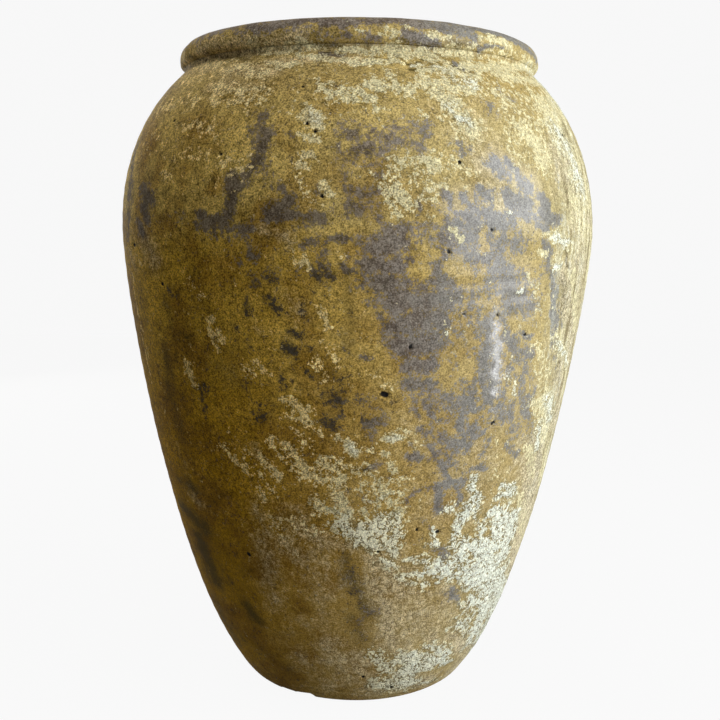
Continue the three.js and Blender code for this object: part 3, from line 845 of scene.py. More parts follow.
# Partly stain, partly painted shade: strokes on the left, mostly low down, darken the shade side; two under
# the rim's left end paint the crease's shadow, and thin ones at the gouges under the rim paint shade on their
# lips.
STAIN_AND_SHADE = SOFT_HALO + [
    (524, 388, 530, 442, 8, .45), (562, 278, 566, 300, 7, .68), (342, 335, 350, 360, 10, .32),
    (328, 190, 336, 210, 12, .25), (318, 132, 330, 150, 9, .4), (212, 552, 232, 584, 10, .5),
    (232, 622, 246, 642, 9, .45), (345, 270, 352, 330, 9, .42), (566, 245, 572, 300, 1.5, .8),
    (576, 260, 574, 330, 1.5, .7), (586, 225, 588, 262, 2, .8), (560, 300, 556, 400, 1.2, .8),
    (566, 330, 560, 410, 1.2, .6), (578, 300, 570, 350, 1.5, .6), (582, 150, 588, 200, 1.5, .5),
    (540, 440, 534, 480, 1.5, .5), (165, 350, 171, 400, 8, .55), (406, 61, 430, 61.5, 1.2, .9),
    (407, 68, 429, 68, 1.4, .9), (200, 540, 215, 580, 12, .8), (182, 505, 205, 530, 10, .75),
    (180, 480, 195, 490, 8, .6), (244, 600, 256, 620, 8, .7), (215, 600, 235, 640, 12, .5),
    (250, 640, 290, 672, 12, .45), (172, 400, 184, 440, 9, .42), (166, 366, 176, 392, 8, .45),
    (164, 296, 176, 340, 8, .4), (180, 332, 190, 336, 4, .6), (212, 365, 228, 395, 12, .4),
    (205, 54, 250, 56, 3, .72), (190, 58, 205, 62, 3, .6), (446, 42, 480, 48, 6, .62),
    (400, 43, 440, 47, 5, .6), (345, 556, 352, 580, 11, .54), (352, 575, 366, 605, 14, .58),
    (362, 598, 370, 616, 11, .6), (352, 615, 362, 640, 12, .48), (290, 44, 350, 43, 2, .6),
    (405, 46, 425, 48, 2, .5), (388, 58, 398, 58, 1.5, .9), (408, 67, 430, 67, 1.5, .9),
    (452, 65, 470, 70, 3, .9), (434, 550, 444, 560, 5, .5), (228, 350, 240, 390, 12, .35),
    (256, 266, 262, 268, 5, .4),
]
SHINE = [
    (380, 240, 440, 380, 26, .35), (450, 210, 530, 214, 18, .8), (500, 165, 530, 190, 14, .9),
    (460, 240, 520, 300, 24, .6), (470, 300, 515, 400, 26, .65), (460, 400, 480, 440, 18, .5),
    (496, 318, 494, 394, 4, .9), (508, 372, 512, 394, 3, 1.0), (440, 440, 450, 500, 14, .35),
    (410, 38, 480, 44, 6, .4),
]
PITS = [
    (383, 394, 386, 395, 3.0, 1), (460, 162, 460, 162, 2.2, 1), (322, 196, 322, 196, 2.2, 1),
    (307, 123, 307, 123, 2.0, 1), (492, 230, 492, 230, 1.8, 1), (134, 245, 134, 245, 2.0, 1),
    (162, 284, 162, 284, 2.0, 1), (248, 554, 249, 555, 2.0, 1), (363, 677, 363, 677, 1.8, 1),
    (221, 154, 221, 154, 1.7, 1), (174, 120, 174, 120, 1.6, 1), (303, 86, 303, 86, 1.6, 1),
    (417, 530, 417, 530, 1.8, 1), (437, 532, 438, 532, 2.0, 1), (315, 131, 315, 131, 2.2, 1),
    (464, 314, 464, 314, 1.6, 1), (498, 315, 498, 315, 1.6, 1), (411, 346, 410, 348, 1.8, 1),
    (448, 251, 449, 252, 1.8, 1), (378, 552, 378, 552, 1.6, 1), (563, 135, 563, 135, 1.5, 1),
    (525, 335, 526, 334, 1.6, 1), (391, 687, 391, 687, 1.6, 1), (492, 424, 494, 422, 1.6, 1),
]
GOUGES = [
    (408, 64, 428, 65, 3.5, 1), (388, 57, 397, 57, 2.5, .8), (453, 64, 470, 70, 3.5, 1),
    (324, 53, 345, 55, 2.5, .7), (286, 691, 294, 694, 3, 1), (300, 695, 310, 696, 3, 1),
    (479, 49, 506, 51, 2, .6),
]
for layer, marks in {"veil": VEIL_AND_LIGHT, "stain_and_shade": STAIN_AND_SHADE, "shine": SHINE, "pit": PITS, "gouge": GOUGES}.items():
    layers[layer] = from_photo(marks)
    print(len(layers[layer]), "strokes of", layer)

# %% [markdown]
# The photograph doesn't show the back, so the same kinds of strokes are scattered there with a fixed
# seed: dark skin mostly on shoulder and belly, lime mostly low down, as on the side that shows.

# %% Strokes on the unseen back
BACK_EDGE = 84
BACK_SEED = 11
MOST_LEAN = 0.7
BACK_STROKES = [  # layer, how many, and ranges of height, half width, length and strength
    ("skin", 46, (0.40, 0.63), (0.005, 0.016), (0.004, 0.05), (0.55, 0.95)),
    ("skin", 30, (0.20, 0.45), (0.003, 0.009), (0.003, 0.04), (0.5, 0.8)),
    ("skin", 10, (0.668, 0.676), (0.003, 0.006), (0.0, 0.003), (0.6, 0.9)),
    ("dust", 40, (0.50, 0.645), (0.008, 0.022), (0.0, 0.05), (0.4, 0.75)),
    ("dust", 44, (0.03, 0.50), (0.008, 0.020), (0.0, 0.06), (0.35, 0.7)),
    ("lime", 44, (0.05, 0.36), (0.007, 0.018), (0.0, 0.06), (0.35, 0.95)),
    ("lime", 20, (0.36, 0.64), (0.004, 0.010), (0.0, 0.04), (0.3, 0.6)),
    ("lime", 14, (0.64, 0.672), (0.003, 0.006), (0.0, 0.006), (0.4, 0.8)),
    ("veil", 16, (0.06, 0.6), (0.01, 0.024), (0.0, 0.05), (0.4, 0.7)),
    ("stain_and_shade", 16, (0.05, 0.55), (0.006, 0.014), (0.02, 0.09), (0.4, 0.7)),
    ("shine", 8, (0.40, 0.60), (0.020, 0.035), (0.0, 0.06), (0.4, 0.8)),
    ("pit", 12, (0.05, 0.6), (0.0018, 0.0028), (0.0, 0.001), (1, 1)),
]
scatter = random.Random(BACK_SEED)


def scattered(count, heights, widths, lengths, strengths):
    """Seeded strokes on the back, upright or a little slanted, between two heights in metres."""
    laid = []
    for _ in range(count):
        a = math.radians(scatter.uniform(BACK_EDGE, 360 - BACK_EDGE))
        z = scatter.uniform(*heights)
        run = scatter.uniform(*lengths)
        aside = run * scatter.uniform(-MOST_LEAN, MOST_LEAN) / float(outside_radius(z))
        half, strength = scatter.uniform(*widths), scatter.uniform(*strengths)
        laid.append((a, z, a + aside, z - run, half, 1.0, strength))
    return laid


for layer, *ranges in BACK_STROKES:
    layers[layer] += scattered(*ranges)
print("strokes in all:", {layer: len(strokes) for layer, strokes in layers.items()})

# %% [markdown]
# ## Painting the layers on the rings
# Every point of a ring asks how far it lies from each stroke, measured on the unrolled wall, and keeps
# the answer as a named attribute for the material. A little noise in the distance bends the strokes'
# straight edges. Its seed is fixed, because this noise would otherwise differ from run to run. Points
# inside the jar stay clean, except on the rim, which is marked all round.

# %% Layers as attributes
WARPS = ((0.030, 0.0050), (0.009, 0.0030))  # size of the bends and how far they shift, in metres
WARP_SEED = 7
CORES = {  # share of a stroke's half width that has its full strength
    "skin": 0.2, "dust": 0.1, "lime": 0.1, "veil": -0.1, "stain_and_shade": 0.1, "shine": 0.2, "pit": 0.4, "gouge": 0.2,
}
UNBENT = ("pit", "gouge")
REACH_WIDTHS, REACH_MORE = 2.5, 0.02
TINY = 1e-12


def half_turn(angle):
    """An angle brought between half a turn back and half a turn on."""
    return np.mod(angle + math.pi, math.tau) - math.pi


def paint(strokes, core, around, height, radius, bend):
    """Strength of a layer at each point: full in a stroke's core, and half at its edge."""
    mask = np.zeros(len(around))
    for a0, z0, a1, z1, half, limb, strength in strokes:
        reach = REACH_WIDTHS * half + abs(z1 - z0) + REACH_MORE
        near = np.flatnonzero(np.abs(height - (z0 + z1) / 2) < reach)
        if not len(near):
            continue
        span = radius[near] * limb
        u, v = half_turn(around[near] - a0) * span + bend[near, 0], height[near] - z0 + bend[near, 1]
        du, dv = half_turn(a1 - a0) * span, z1 - z0
        along = np.clip((u * du + v * dv) / np.maximum(du * du + dv * dv, TINY), 0, 1)
        far = np.hypot(u - along * du, v - along * dv) / half
        ink = np.clip(0.5 + 0.5 * (1 - far) / (1 - core), 0, 1)
        if strength > 0:
            mask[near] = np.maximum(mask[near], strength * ink)
        else:
            mask[near] *= 1 + strength * ink
    return mask


def paint_ring(thing, all_round):
    """Writes every layer on a ring's points, and marks the points inside the jar."""
    place = np.empty(len(thing.data.vertices) * 3)
    thing.data.vertices.foreach_get("co", place)
    place = place.reshape(-1, 3)
    around, radius = np.arctan2(place[:, 0], -place[:, 1]), np.hypot(place[:, 0], place[:, 1])
    outside = (radius > outside_radius(place[:, 2]) - WALL / 2) | all_round
    bend = sum(
        np.array([noise.noise_vector(Vector(p) / size)[:2] for p in place]) * amount for size, amount in WARPS
    )
    values = {"inside": 1 - outside}
    for layer, core in CORES.items():
        shift = bend * (layer not in UNBENT)
        values[layer] = paint(layers[layer], core, around, place[:, 2], radius, shift) * outside
    for layer, value in values.items():
        attribute = thing.data.attributes.new(layer, "FLOAT", "POINT")
        attribute.data.foreach_set("value", value.astype(np.float32))


noise.seed_set(WARP_SEED)
for name, piece in pieces.items():
    paint_ring(piece, name == "rim_roll")
print("painted", ", ".join(CORES), "on", len(pieces), "rings")

# %% [markdown]
# ## Relief of the marks
# Lime stands proud of the clay, and pits and gouges go into it, which the outline and the raking light
# show, so they are geometry too. A second tree moves every point along its normal: out by the lime's
# strength, broken up by noise, and in by the pits and gouges.

# %% Tree for the relief
GRAIN_LIFT = 1.6
RELIEF = {"Crust height": 0.0009, "Crust grain": 0.006, "Pit depth": 0.0014, "Gouge depth": 0.0024}

relief_inputs = {**dict.fromkeys(RELIEF, "Float"), "Material": "Material"}
relief_tree, given, relief_keys = new_tree("age_relief", relief_inputs)
lime, pit, gouge = (
    put(relief_tree, "GeometryNodeInputNamedAttribute", {"Name": layer}, data_type="FLOAT")
    for layer in ("lime", "pit", "gouge")
)
here = put(relief_tree, "GeometryNodeInputPosition")
grain = put(relief_tree, "ShaderNodeTexNoise", {
    "Vector": here, "Scale": 1.0 / given["Crust grain"], "Detail": 2.0,
})
crust = lime * given["Crust height"] * (grain * GRAIN_LIFT)
rise = crust - (gouge * given["Gouge depth"] + pit * given["Pit depth"])
normal = put(relief_tree, "GeometryNodeInputNormal")
offset = put(relief_tree, "ShaderNodeVectorMath", {0: normal, "Scale": rise}, operation="SCALE")
raised = put(relief_tree, "GeometryNodeSetPosition", {"Geometry": given["Geometry"], "Offset": offset})
end_tree(relief_tree, raised, given["Material"])

for piece in pieces.values():
    apply_tree(piece, relief_tree, relief_keys, {**RELIEF, "Material": piece.data.materials[0]})
print("relief on", len(pieces), "rings")

# %% [markdown]
# ## Noise for the worn clay
# Every layer of the finish has a mask, which says roughly where it lies, and noise in object coordinates
# that breaks its edge into crumbs. The noises are listed by name, and each layer says how much of which
# it takes. Two more are the place on the jar, frayed a little: the side, from the shade on the left to
# the light on the right, and the height.

# %% Noise and edges
CLOUDS = {  # size of the blots in metres, detail, roughness, distortion, seed
    "broad": (0.060, 3, 0.55, 0, 0),
    "mottle": (0.016, 5, 0.65, 0, 9),
    "fray": (0.012, 6, 0.70, 0, 0),
    "flake": (0.010, 6, 0.70, 0, 5),
    "crumb": (0.0046, 3, 0.60, 0, 0),
    "thread": (0.0036, 2, 0.50, 0.7, 0),
    "plate": (0.0054, 2, 0.50, 0.7, 2),
    "grit": (0.0032, 3, 0.70, 0, 3),
    "pore": (0.0025, 1, 0.50, 0, 4),
    "speck": (0.0015, 2, 0.60, 0, 0),
}
STREAK, STREAK_STRETCH = (0.011, 4, 0.65, 0, 7), (1, 1, 0.13)
HEIGHT_FRAY, SIDE_FRAY = 0.08, 0.15
EDGES = {  # how much of each noise, where the layer starts and where it is full
    "pale": ({"flake": 1.0, "grit": 1.6}, 0.68, 0.82),
    "dark": ({"fray": 1.0, "grit": -1.6}, 0.66, 0.80),
    "fleck": ({"flake": -1.2, "grit": 2.0}, 0.74, 0.82),
    "stain_and_shade": ({"mottle": 1.2, "crumb": 0.8}, 0.20, 0.80),
    "veil": ({"mottle": 1.2, "crumb": 0.8, "speck": 0.6}, 0.15, 0.85),
    "skin": ({"fray": 1.2, "grit": 2.4, "speck": 1.1, "drips": 1.3}, 0.43, 0.56),
    "skin_tone": ({"mottle": 1.2, "grit": 2.0, "speck": 1.0}, 0.30, 0.75),
    "smoke": ({"mottle": 1.2, "grit": 1.6}, 0.30, 0.75),
    "dust": ({"flake": 1.8, "grit": 2.0}, 0.47, 0.60),
    "wash": ({"streak": 2.0, "grit": 1.2}, 0.56, 0.70),
    "line": ({"streak": -2.0, "grit": 1.2}, 0.58, 0.70),
    "lime": ({"flake": 1.8, "grit": 1.0}, 0.08, 0.66),
}
COVER = {  # how much of a layer's colour hides what lies below
    "fleck": 0.70, "stain_and_shade": 0.85, "veil": 0.75, "smoke": 0.25, "skin": 0.92,
    "wash": 0.28, "line": 0.75, "gap": 0.70,
}
DRIP_SIDE = (0.05, 0.12)


def cloud(where, size, detail, rough, distortion=0, seed=0):
    """Noise about its middle value, whose blots are about so many metres across."""
    return put(where.tree, "ShaderNodeTexNoise", {
        "Vector": where, "W": seed, "Scale": 1 / size,
        "Detail": detail, "Roughness": rough, "Distortion": distortion,
    }, noise_dimensions="4D") - 0.5


def step(value, low, high, to_low=0.0, to_high=1.0):
    """A soft step from one value to another while a wire goes from low to high."""
    return put(value.tree, "ShaderNodeMapRange", {
        "Value": value, "From Min": low, "From Max": high, "To Min": to_low, "To Max": to_high,
    }, interpolation_type="SMOOTHSTEP")


def blend(factor, a, b, mode="MIX"):
    """Mixes two colours, each a wire or three linear values."""
    tree = next(v.tree for v in (factor, a, b) if isinstance(v, Wire))
    a, b = (c if isinstance(c, Wire) else (*c, 1) for c in (a, b))
    return put(tree, "ShaderNodeMix", {0: factor, 6: a, 7: b}, out=2, data_type="RGBA", blend_type=mode)


def darken(colour, amount):
    """A colour times one number."""
    grey = put(amount.tree, "ShaderNodeCombineColor", {0: amount, 1: amount, 2: amount})
    return blend(1.0, colour, grey, "MULTIPLY")


def painted(clay, layer):
    return put(clay.tree, "ShaderNodeAttribute", out="Fac", attribute_name=layer)


def edge(clay, layer, mask=0.5):
    """Where a layer lies: its mask, or an even half, with its edge broken up by noises."""
    noises, start, full = EDGES[layer]
    for name, amount in noises.items():
        mask = getattr(clay, name) * amount + mask
    return step(mask, start, full)


def start_clay(material):
    """An empty material with the clay's noises and the place on the jar as named wires."""
    tree = empty_material_tree(material)
    where = put(tree, "ShaderNodeTexCoord", out="Object")
    clay = SimpleNamespace(tree=tree, **{name: cloud(where, *shape) for name, shape in CLOUDS.items()})
    drawn_out = put(tree, "ShaderNodeVectorMath", {0: where, 1: STREAK_STRETCH}, operation="MULTIPLY")
    clay.streak = cloud(drawn_out, *STREAK)
    clay.x, clay.z = put(tree, "ShaderNodeSeparateXYZ", {0: where}, out=("X", "Z"))
    clay.height = clay.mottle * HEIGHT_FRAY + clay.z
    clay.side = clay.mottle * SIDE_FRAY + clay.x
    clay.drips = clay.streak * step(clay.side, *DRIP_SIDE)
    return clay


print(len(CLOUDS) + 1, "noises and", len(EDGES), "edges")

# %% [markdown]
# ## Ochre slip
# The slip goes from brown ochre at the foot to a paler one at the top. Towards the lit side it is painted
# paler and greyer, most on the far right limb and, on that side, low down, and there its rust, mottle and
# dark places fade. This is painted light, and the shade side keeps them deep as painted shade. Rust
# patches, pale and dark places and small flecks of the skin below make it uneven.

# %% Ochre slip
LOW_SLIP, MIDDLE_SLIP = (0.37, 0.200, 0.008), (0.47, 0.285, 0.031)
HIGH_SLIP, TOP_SLIP = (0.49, 0.338, 0.083), (0.36, 0.262, 0.088)
# Painted light: the slip's paler, greyer colour towards the lit side.
PAINTED_LIGHT_SLIP = (0.355, 0.314, 0.173)
RUST_SLIP = (0.27, 0.135, 0.012)
# Dark brown of the stain, which is partly painted shade, of the slip's dark places and of grit in the bare
# clay.
DARK_BROWN = (0.060, 0.043, 0.009)
SHADE_SKIN = (0.084, 0.065, 0.047)
# Shaded and lit copies of the dust's colour: painted shade and painted light.
SHADE_DUST, LIT_DUST = (0.84, 0.62, 0.24), (0.60, 0.54, 0.315)
LOW_TO_MIDDLE, MIDDLE_TO_HIGH, HIGH_TO_TOP = (0.27, 0.42), (0.455, 0.515), (0.56, 0.64)
# From the shade on the left to the light on the right: where the painted light comes in.
PAINTED_LIGHT_SIDE = (-0.16, 0.20)
# The far right limb, where streaks run down and the slip is painted paler still, as painted light.
STREAKS_AND_LIT_LIMB = (0.165, 0.205)
# Where the dust turns from its shaded to its lit colour.
DUST_SIDE = (-0.10, 0.14)
GREY_FOOT = (0.22, 0.08)
# Heights of the rim, which is painted lighter as painted light: it takes less top slip and the skin's lit
# colours.
RIM_PAINTED_LIGHT = (0.649, 0.657)
RUST_PATCHES = (0.05, -0.12)
CALM_LOW = (0.16, 0.27)
GOLDEN_HEIGHT, GREYER_AWAY = 0.38, 0.55
DUST_GRIT, MOTTLE_TONE, BROAD_TONE = 1.6, 1.6, 1.2
# Shares of the painted light colour on the lit side, on the far right limb and low down on the lit side, and
# of the top slip.
SLIP_LIGHT_PAINTED, LIMB_LIGHT_PAINTED, FOOT_GREYED, TOP_GREYED = (0, 0.70), (0, 0.75), (0, 0.35), (0, 0.85)
# TOP_ON_RIM halves the top slip on the rim, as part of the rim's painted light.
TOP_ON_RIM, RUSTED, RUST_ON_TOP = (1, 0.5), (0.7, 0), (1, 0.2)
# The mottle and the dark places fade towards the lit side, as part of the painted light.
TONED, PALED, DARKENED = (1, 0.35), (0.25, 0.6), (0.75, 0.3)


def lay_slip(clay, low_slip, middle_slip, high_slip):
    """The slip's colour. Keeps the clay's light and dark tone and the colour of dust for later layers."""
    colour = blend(step(clay.height, *LOW_TO_MIDDLE), low_slip, middle_slip)
    colour = blend(step(clay.height, *MIDDLE_TO_HIGH), colour, high_slip)
    # Painted light: the slip turns paler and greyer towards the lit side, more so on the far right limb and
    # low down on the lit side.
    colour = blend(step(clay.side, *PAINTED_LIGHT_SIDE, *SLIP_LIGHT_PAINTED), colour, PAINTED_LIGHT_SLIP)
    grey_foot = step(clay.height, *GREY_FOOT, *FOOT_GREYED) * step(clay.side, *PAINTED_LIGHT_SIDE)
    greyer = step(clay.x, *STREAKS_AND_LIT_LIMB, *LIMB_LIGHT_PAINTED).at_least(grey_foot)
    colour = blend(greyer, colour, PAINTED_LIGHT_SLIP)
    # Painted light: on the rim the top slip is halved, so the rim comes out lighter.
    top = step(clay.height, *HIGH_TO_TOP, *TOP_GREYED) * step(clay.z, *RIM_PAINTED_LIGHT, *TOP_ON_RIM)
    colour = blend(top, colour, TOP_SLIP)
    # The rust patches fade out towards the lit side, as part of the painted light.
    rust = step(clay.broad, *RUST_PATCHES) * step(clay.side, *PAINTED_LIGHT_SIDE, *RUSTED)
    colour = blend(rust * step(clay.height, *HIGH_TO_TOP, *RUST_ON_TOP), colour, RUST_SLIP)

    # Painted shade and light: the dust is golden on the shade side, most at mid height, and greyer towards
    # the lit side.
    dust_side = abs(clay.z - GOLDEN_HEIGHT) * GREYER_AWAY + clay.side
    dust_colour = blend(step(dust_side, *DUST_SIDE), SHADE_DUST, LIT_DUST)
    clay.dust_colour = darken(dust_colour, clay.grit * DUST_GRIT + 1.0)
    blots = clay.mottle * MOTTLE_TONE + clay.broad * BROAD_TONE
    # The mottle is weaker on the lit side, as part of the painted light.
    clay.tone = blots * step(clay.side, *PAINTED_LIGHT_SIDE, *TONED) + 1.0
    colour = darken(colour, clay.tone)
    pale = edge(clay, "pale") * step(clay.height, *CALM_LOW, *PALED)
    colour = blend(pale, colour, clay.dust_colour)
    # The dark places fade towards the lit side, as part of the painted light.
    dark = edge(clay, "dark") * step(clay.side, *PAINTED_LIGHT_SIDE, *DARKENED)
    colour = blend(dark, colour, DARK_BROWN)
    return blend(edge(clay, "fleck") * COVER["fleck"], colour, SHADE_SKIN)


print("slip changes at heights", LOW_TO_MIDDLE, MIDDLE_TO_HIGH, HIGH_TO_TOP)

# %% [markdown]
# ## Stain, veil and dark skin
# Stain and veil are thin. Some stain strokes are painted shade, on the shade side, in the crease under the
# rim and on the lips of the gouges. Some veil strokes are painted light on the lit side, and the veil's own
# colour is painted deeper in the shade and paler in the light. The veil has crooked ridges, drawn where a
# noise is near its middle value, and they are coarser low down. The dark skin is painted in shaded and lit
# copies, brown in the shade and lighter in the light, and towards the lit side it takes a painted blue grey
# reflection, where drips have pulled its edge downwards. Low down in the spots on the left it is painted
# nearly black, as painted shade.

# %% Stain, veil and dark skin
# Painted shade: the nearly black skin low down on the shade side.
DEEP_SHADE_SKIN = (0.032, 0.028, 0.022)
# Shaded and lit copies of the dark skin's colours: painted shade and painted light.
SHADE_GREY = (0.190, 0.152, 0.107)
LIT_SKIN, LIT_GREY = (0.108, 0.083, 0.067), (0.222, 0.188, 0.154)
# Painted reflection: the blue grey that the skin takes towards the lit side.
REFLECTION_GREY = (0.190, 0.191, 0.178)
# Shaded and lit copies of the veil's colour: painted shade and painted light.
SHADE_VEIL, LIT_VEIL = (0.50, 0.38, 0.19), (0.48, 0.42, 0.285)
# Where the skin turns from its shaded to its lit colours.
SKIN_SIDE = (-0.02, 0.04)
# Where the painted blue grey reflection comes in.
REFLECTION_SIDE = (0.02, 0.12)
# Below these heights the skin on the shade side is painted nearly black, as painted shade.
DEEP_SHADE_BELOW = (0.47, 0.43)
PLATES_BELOW = (0.30, 0.20)
VEIL_RIDGES, RIDGE_TONES = (0.005, 0.06), (0.3, 1.3)
REFLECTION_PAINTED, DEEP_SHADE_PAINTED = (0, 0.75), (0.85, 0)


def lay_skin(clay, colour):
    """Stain, veil and dark skin over the slip, with painted shade, light and reflection in them. Keeps veil,
    ridges and skin for the surface.
    """
    # Painted shade in part: the stain also darkens the shade side, the crease under the rim and the gouges'
    # lips.
    stain_and_shade = edge(clay, "stain_and_shade", painted(clay, "stain_and_shade"))
    colour = blend(stain_and_shade * COVER["stain_and_shade"], colour, DARK_BROWN)
    clay.veil = edge(clay, "veil", painted(clay, "veil"))
    clay.crook = abs(clay.thread + (clay.plate - clay.thread) * step(clay.height, *PLATES_BELOW))
    clay.ridges = step(clay.crook, *VEIL_RIDGES, *RIDGE_TONES)
    # Painted shade and light: the veil is deeper on the shade side and paler on the lit side.
    veil_colour = darken(blend(step(clay.side, *PAINTED_LIGHT_SIDE), SHADE_VEIL, LIT_VEIL), clay.ridges)
    colour = blend(clay.veil * COVER["veil"], colour, veil_colour)

    mask = painted(clay, "skin")
    clay.skin = edge(clay, "skin", mask)
    # Painted light: the skin takes its lit colours on the lit side and on the rim, and its shaded ones
    # elsewhere.
    lit = step(clay.side, *SKIN_SIDE).at_least(step(clay.z, *RIM_PAINTED_LIGHT))
    skin_tone = edge(clay, "skin_tone")
    skin_colour = blend(
        lit, blend(skin_tone, SHADE_SKIN, SHADE_GREY), blend(skin_tone, LIT_SKIN, LIT_GREY)
    )
    # Painted reflection: the skin goes blue grey towards the lit side.
    skin_colour = blend(step(clay.side, *REFLECTION_SIDE, *REFLECTION_PAINTED), skin_colour, REFLECTION_GREY)
    # Painted shade: low down on the shade side the skin is nearly black.
    deep_shade = step(clay.height, *DEEP_SHADE_BELOW) * step(clay.side, *SKIN_SIDE, *DEEP_SHADE_PAINTED)
    skin_colour = blend(deep_shade, skin_colour, DEEP_SHADE_SKIN)
    colour = blend(edge(clay, "smoke", mask) * COVER["smoke"], colour, skin_colour)
    return blend(clay.skin * COVER["skin"], colour, skin_colour)


print("skin is lit between x", SKIN_SIDE, "and blue between x", REFLECTION_SIDE)

# %% [markdown]
# ## Dust, streaks and lime
# Dust is a thin crust with pores and cracks. On the far right pale and olive streaks run down. Lime is
# drawn as plates, parted by dark lines where the noise is near its middle value: the more lime there is,
# the narrower the lines. Like the dust, lime is painted in shaded and lit copies, warm on the shade side
# and white on the lit side.

# %% Dust, streaks and lime
# Shaded and lit copies of the lime's colour: painted shade and painted light.
SHADE_LIME, LIT_LIME = (0.75, 0.70, 0.49), (0.68, 0.69, 0.57)
CRUST_GAP = (0.14, 0.12, 0.055)
OLIVE_STREAK = (0.16, 0.125, 0.055)
DUST_PORES, DUST_CRACKS = (-0.17, -0.10, 0.2, 1.0), (0.004, 0.024, 0.3, 0.95)
# Where the lime turns from its shaded to its lit colour.
LIME_LIT_SIDE = (0.03, 0.11)
LIME_LAID, LIME_SHOWS = (0.03, 0.15), (0.02, 0.12)
WIDEST_GAP, GAP_CLOSES = 0.105, -0.080
PLATE_EDGE = (-0.012, 0.014)


def lay_lime(clay, colour):
    """Dust, streaks and lime over everything below. Keeps dust and lime for the surface."""
    pores = step(clay.pore, *DUST_PORES) * step(abs(clay.thread), *DUST_CRACKS)
    clay.dust = edge(clay, "dust", painted(clay, "dust")) * pores
    colour = blend(clay.dust, colour, clay.dust_colour)

    streaked = step(clay.x, *STREAKS_AND_LIT_LIMB)
    colour = blend(edge(clay, "wash") * streaked * COVER["wash"], colour, LIT_LIME)
    colour = blend(edge(clay, "line") * streaked * COVER["line"], colour, OLIVE_STREAK)

    mask = painted(clay, "lime")
    density = edge(clay, "lime", mask) * step(mask, *LIME_LAID)
    plates = step(clay.crook - (density * GAP_CLOSES + WIDEST_GAP), *PLATE_EDGE)
    clay.lime = plates * step(density, *LIME_SHOWS)
    colour = blend(density * COVER["gap"], colour, CRUST_GAP)
    # Painted shade and light: lime is warm on the shade side and white on the lit side.
    lime_colour = blend(step(clay.side, *LIME_LIT_SIDE), SHADE_LIME, LIT_LIME)
    return blend(clay.lime, colour, blend(density, clay.dust_colour, lime_colour))


print("lime is laid over a strength of", LIME_LAID[0])

# %% [markdown]
# ## The worn finish
# The layers are put together, grain and pits are added, and the inside is left as bare clay. The grain is
# calmer on the lit side, as part of the painted light, and the pits are painted near black, as painted
# shade. The skin has a satin coat where it is polished, and crust, ridges and grit make fine bumps.

# %% Worn finish
INSIDE_CLAY, INSIDE_PALE, INSIDE_BLOTS = (0.25, 0.16, 0.08), (0.37, 0.26, 0.14), (-0.1, 0.1)
# The near black painted into the pits: painted shade.
PIT_SHADE, PIT_EDGE = (0.012, 0.011, 0.010), (0.35, 0.7)
SPECK_GRAIN, CRUMB_GRAIN = 4.8, 2.4
DARKEST_GRAIN, LIGHTEST_GRAIN = 0.3, 1.75
CALM, CALM_FOOT = 0.5, (0.8, 0)
CRUST_DULLS = -0.7
SHINE_SPECKS = (-0.22, 0.0, 0.3, 1.0)
BUMPS = {"ridges": 0.5, "crust": 0.9, "speck": 0.45, "crumb": 0.35}
BUMP_DISTANCE, CLAY_BUMP, COAT_BUMP = 0.0006, 0.55, 0.12
MATT_SPECKS = (-0.2, 0.2, 0.66, 0.82)
CLAY_SPECULAR, COAT_ROUGHNESS = 0.05, 0.145


def worn_finish(material, low_slip, middle_slip, high_slip):
    """The layered finish, over a slip that changes with height."""
    clay = start_clay(material)
    tree = clay.tree
    colour = lay_lime(clay, lay_skin(clay, lay_slip(clay, low_slip, middle_slip, high_slip)))
    bare = blend(step(clay.broad, *INSIDE_BLOTS), INSIDE_CLAY, INSIDE_PALE)
    colour = blend(painted(clay, "inside"), colour, darken(bare, clay.tone))
    grain = clay.speck * SPECK_GRAIN + (clay.crumb * CRUMB_GRAIN + 1.0)
    grain = grain.at_least(DARKEST_GRAIN).at_most(LIGHTEST_GRAIN)
    # The grain is calmer on the lit side, as part of the painted light.
    calm = clay.skin.at_least(clay.lime).at_least(step(clay.side, *PAINTED_LIGHT_SIDE))
    calm = calm.at_least(step(clay.height, *CALM_LOW, *CALM_FOOT)) * CALM
    colour = blend(calm, darken(colour, grain), colour)
    # Painted shade: the pits are painted near black.
    colour = blend(step(painted(clay, "pit"), *PIT_EDGE), colour, PIT_SHADE)

    crust = clay.lime.at_least(clay.dust)
    shine = painted(clay, "shine") * (crust * CRUST_DULLS + 1.0) * step(clay.speck, *SHINE_SPECKS)
    relief = clay.veil * clay.ridges * BUMPS["ridges"] + crust * BUMPS["crust"]
    relief = relief + clay.speck * BUMPS["speck"] + clay.crumb * BUMPS["crumb"]
    bump, coat_bump = (
        put(tree, "ShaderNodeBump", {"Height": relief, "Strength": strength, "Distance": BUMP_DISTANCE})
        for strength in (CLAY_BUMP, COAT_BUMP)
    )
    body = put(tree, "ShaderNodeBsdfPrincipled", {
        "Base Color": colour, "Roughness": step(clay.speck, *MATT_SPECKS), "Normal": bump,
        "Specular IOR Level": CLAY_SPECULAR,
        "Coat Weight": shine, "Coat Roughness": COAT_ROUGHNESS, "Coat Normal": coat_bump,
    })
    put(tree, "ShaderNodeOutputMaterial", {"Surface": body})
    print(material.name, "nodes:", len(tree.nodes))


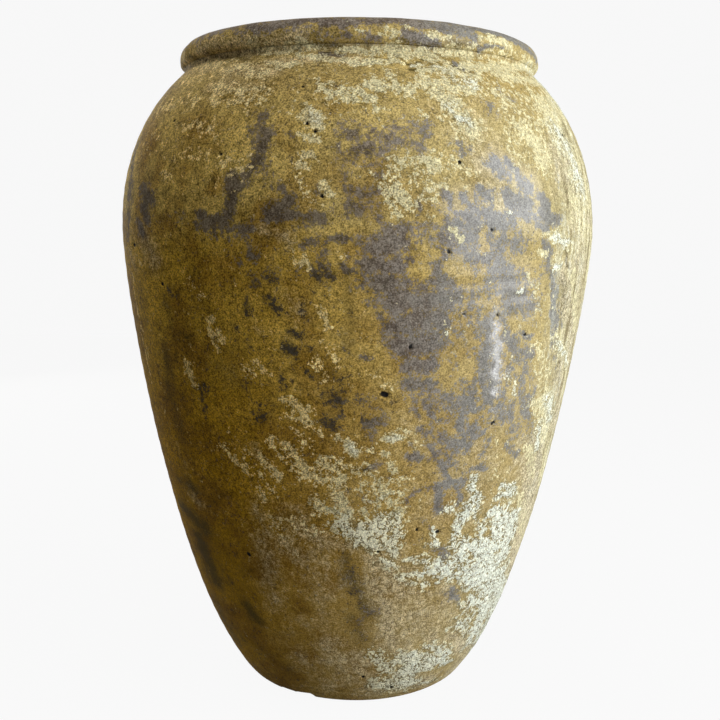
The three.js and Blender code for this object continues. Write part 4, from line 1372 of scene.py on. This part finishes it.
worn_finish(worn_clay, LOW_SLIP, MIDDLE_SLIP, HIGH_SLIP)

# %% [markdown]
# ## Bare clay and pale slip
# The coils inside never saw slip or weather, so they are plain fired clay with grit. The fillet under the
# rim has the worn finish too, over a pale wiped slip.

# %% Bare clay and pale slip
PALE_SLIP = (0.56, 0.47, 0.30)
DARK_CLAY, LIGHT_CLAY, CLAY_CHIPS = (0.24, 0.15, 0.075), (0.33, 0.22, 0.11), (0.42, 0.32, 0.18)
CLAY_CLOUDS = {"tone": (0.030, 4, 0.55), "chips": (0.006, 3, 0.55), "grit": (0.0018, 3, 0.55)}
TONE_STEP, CHIP_STEP, GRIT_STEP = (-0.15, 0.15), (0.06, 0.18, 0, 0.7), (-0.08, -0.22, 0, 0.6)
BARE_ROUGHNESS, BARE_SPECULAR = 0.85, 0.3
BARE_BUMP, BARE_BUMP_DISTANCE = 0.5, 0.0005

tree = empty_material_tree(bare_clay)
where = put(tree, "ShaderNodeTexCoord", out="Object")
tone, chips, grit = (cloud(where, *shape) for shape in CLAY_CLOUDS.values())
colour = blend(step(tone, *TONE_STEP), DARK_CLAY, LIGHT_CLAY)
colour = blend(step(chips, *CHIP_STEP), colour, CLAY_CHIPS)
colour = blend(step(grit, *GRIT_STEP), colour, DARK_BROWN)
bump = put(tree, "ShaderNodeBump", {"Height": grit, "Strength": BARE_BUMP, "Distance": BARE_BUMP_DISTANCE})
body = put(tree, "ShaderNodeBsdfPrincipled", {
    "Base Color": colour, "Roughness": BARE_ROUGHNESS, "Normal": bump, "Specular IOR Level": BARE_SPECULAR,
})
put(tree, "ShaderNodeOutputMaterial", {"Surface": body})
print(bare_clay.name, "nodes:", len(tree.nodes))
worn_finish(pale_clay, PALE_SLIP, PALE_SLIP, PALE_SLIP)

# %% [markdown]
# ## Joining the imported model
# Every ring stands for the imported ring of the same name and rides on the one body.

# %% Ride and replace
for name, piece in pieces.items():
    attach(piece, "root" if "root" in frame["bodies"] else next(iter(frame["bodies"])))
    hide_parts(name)
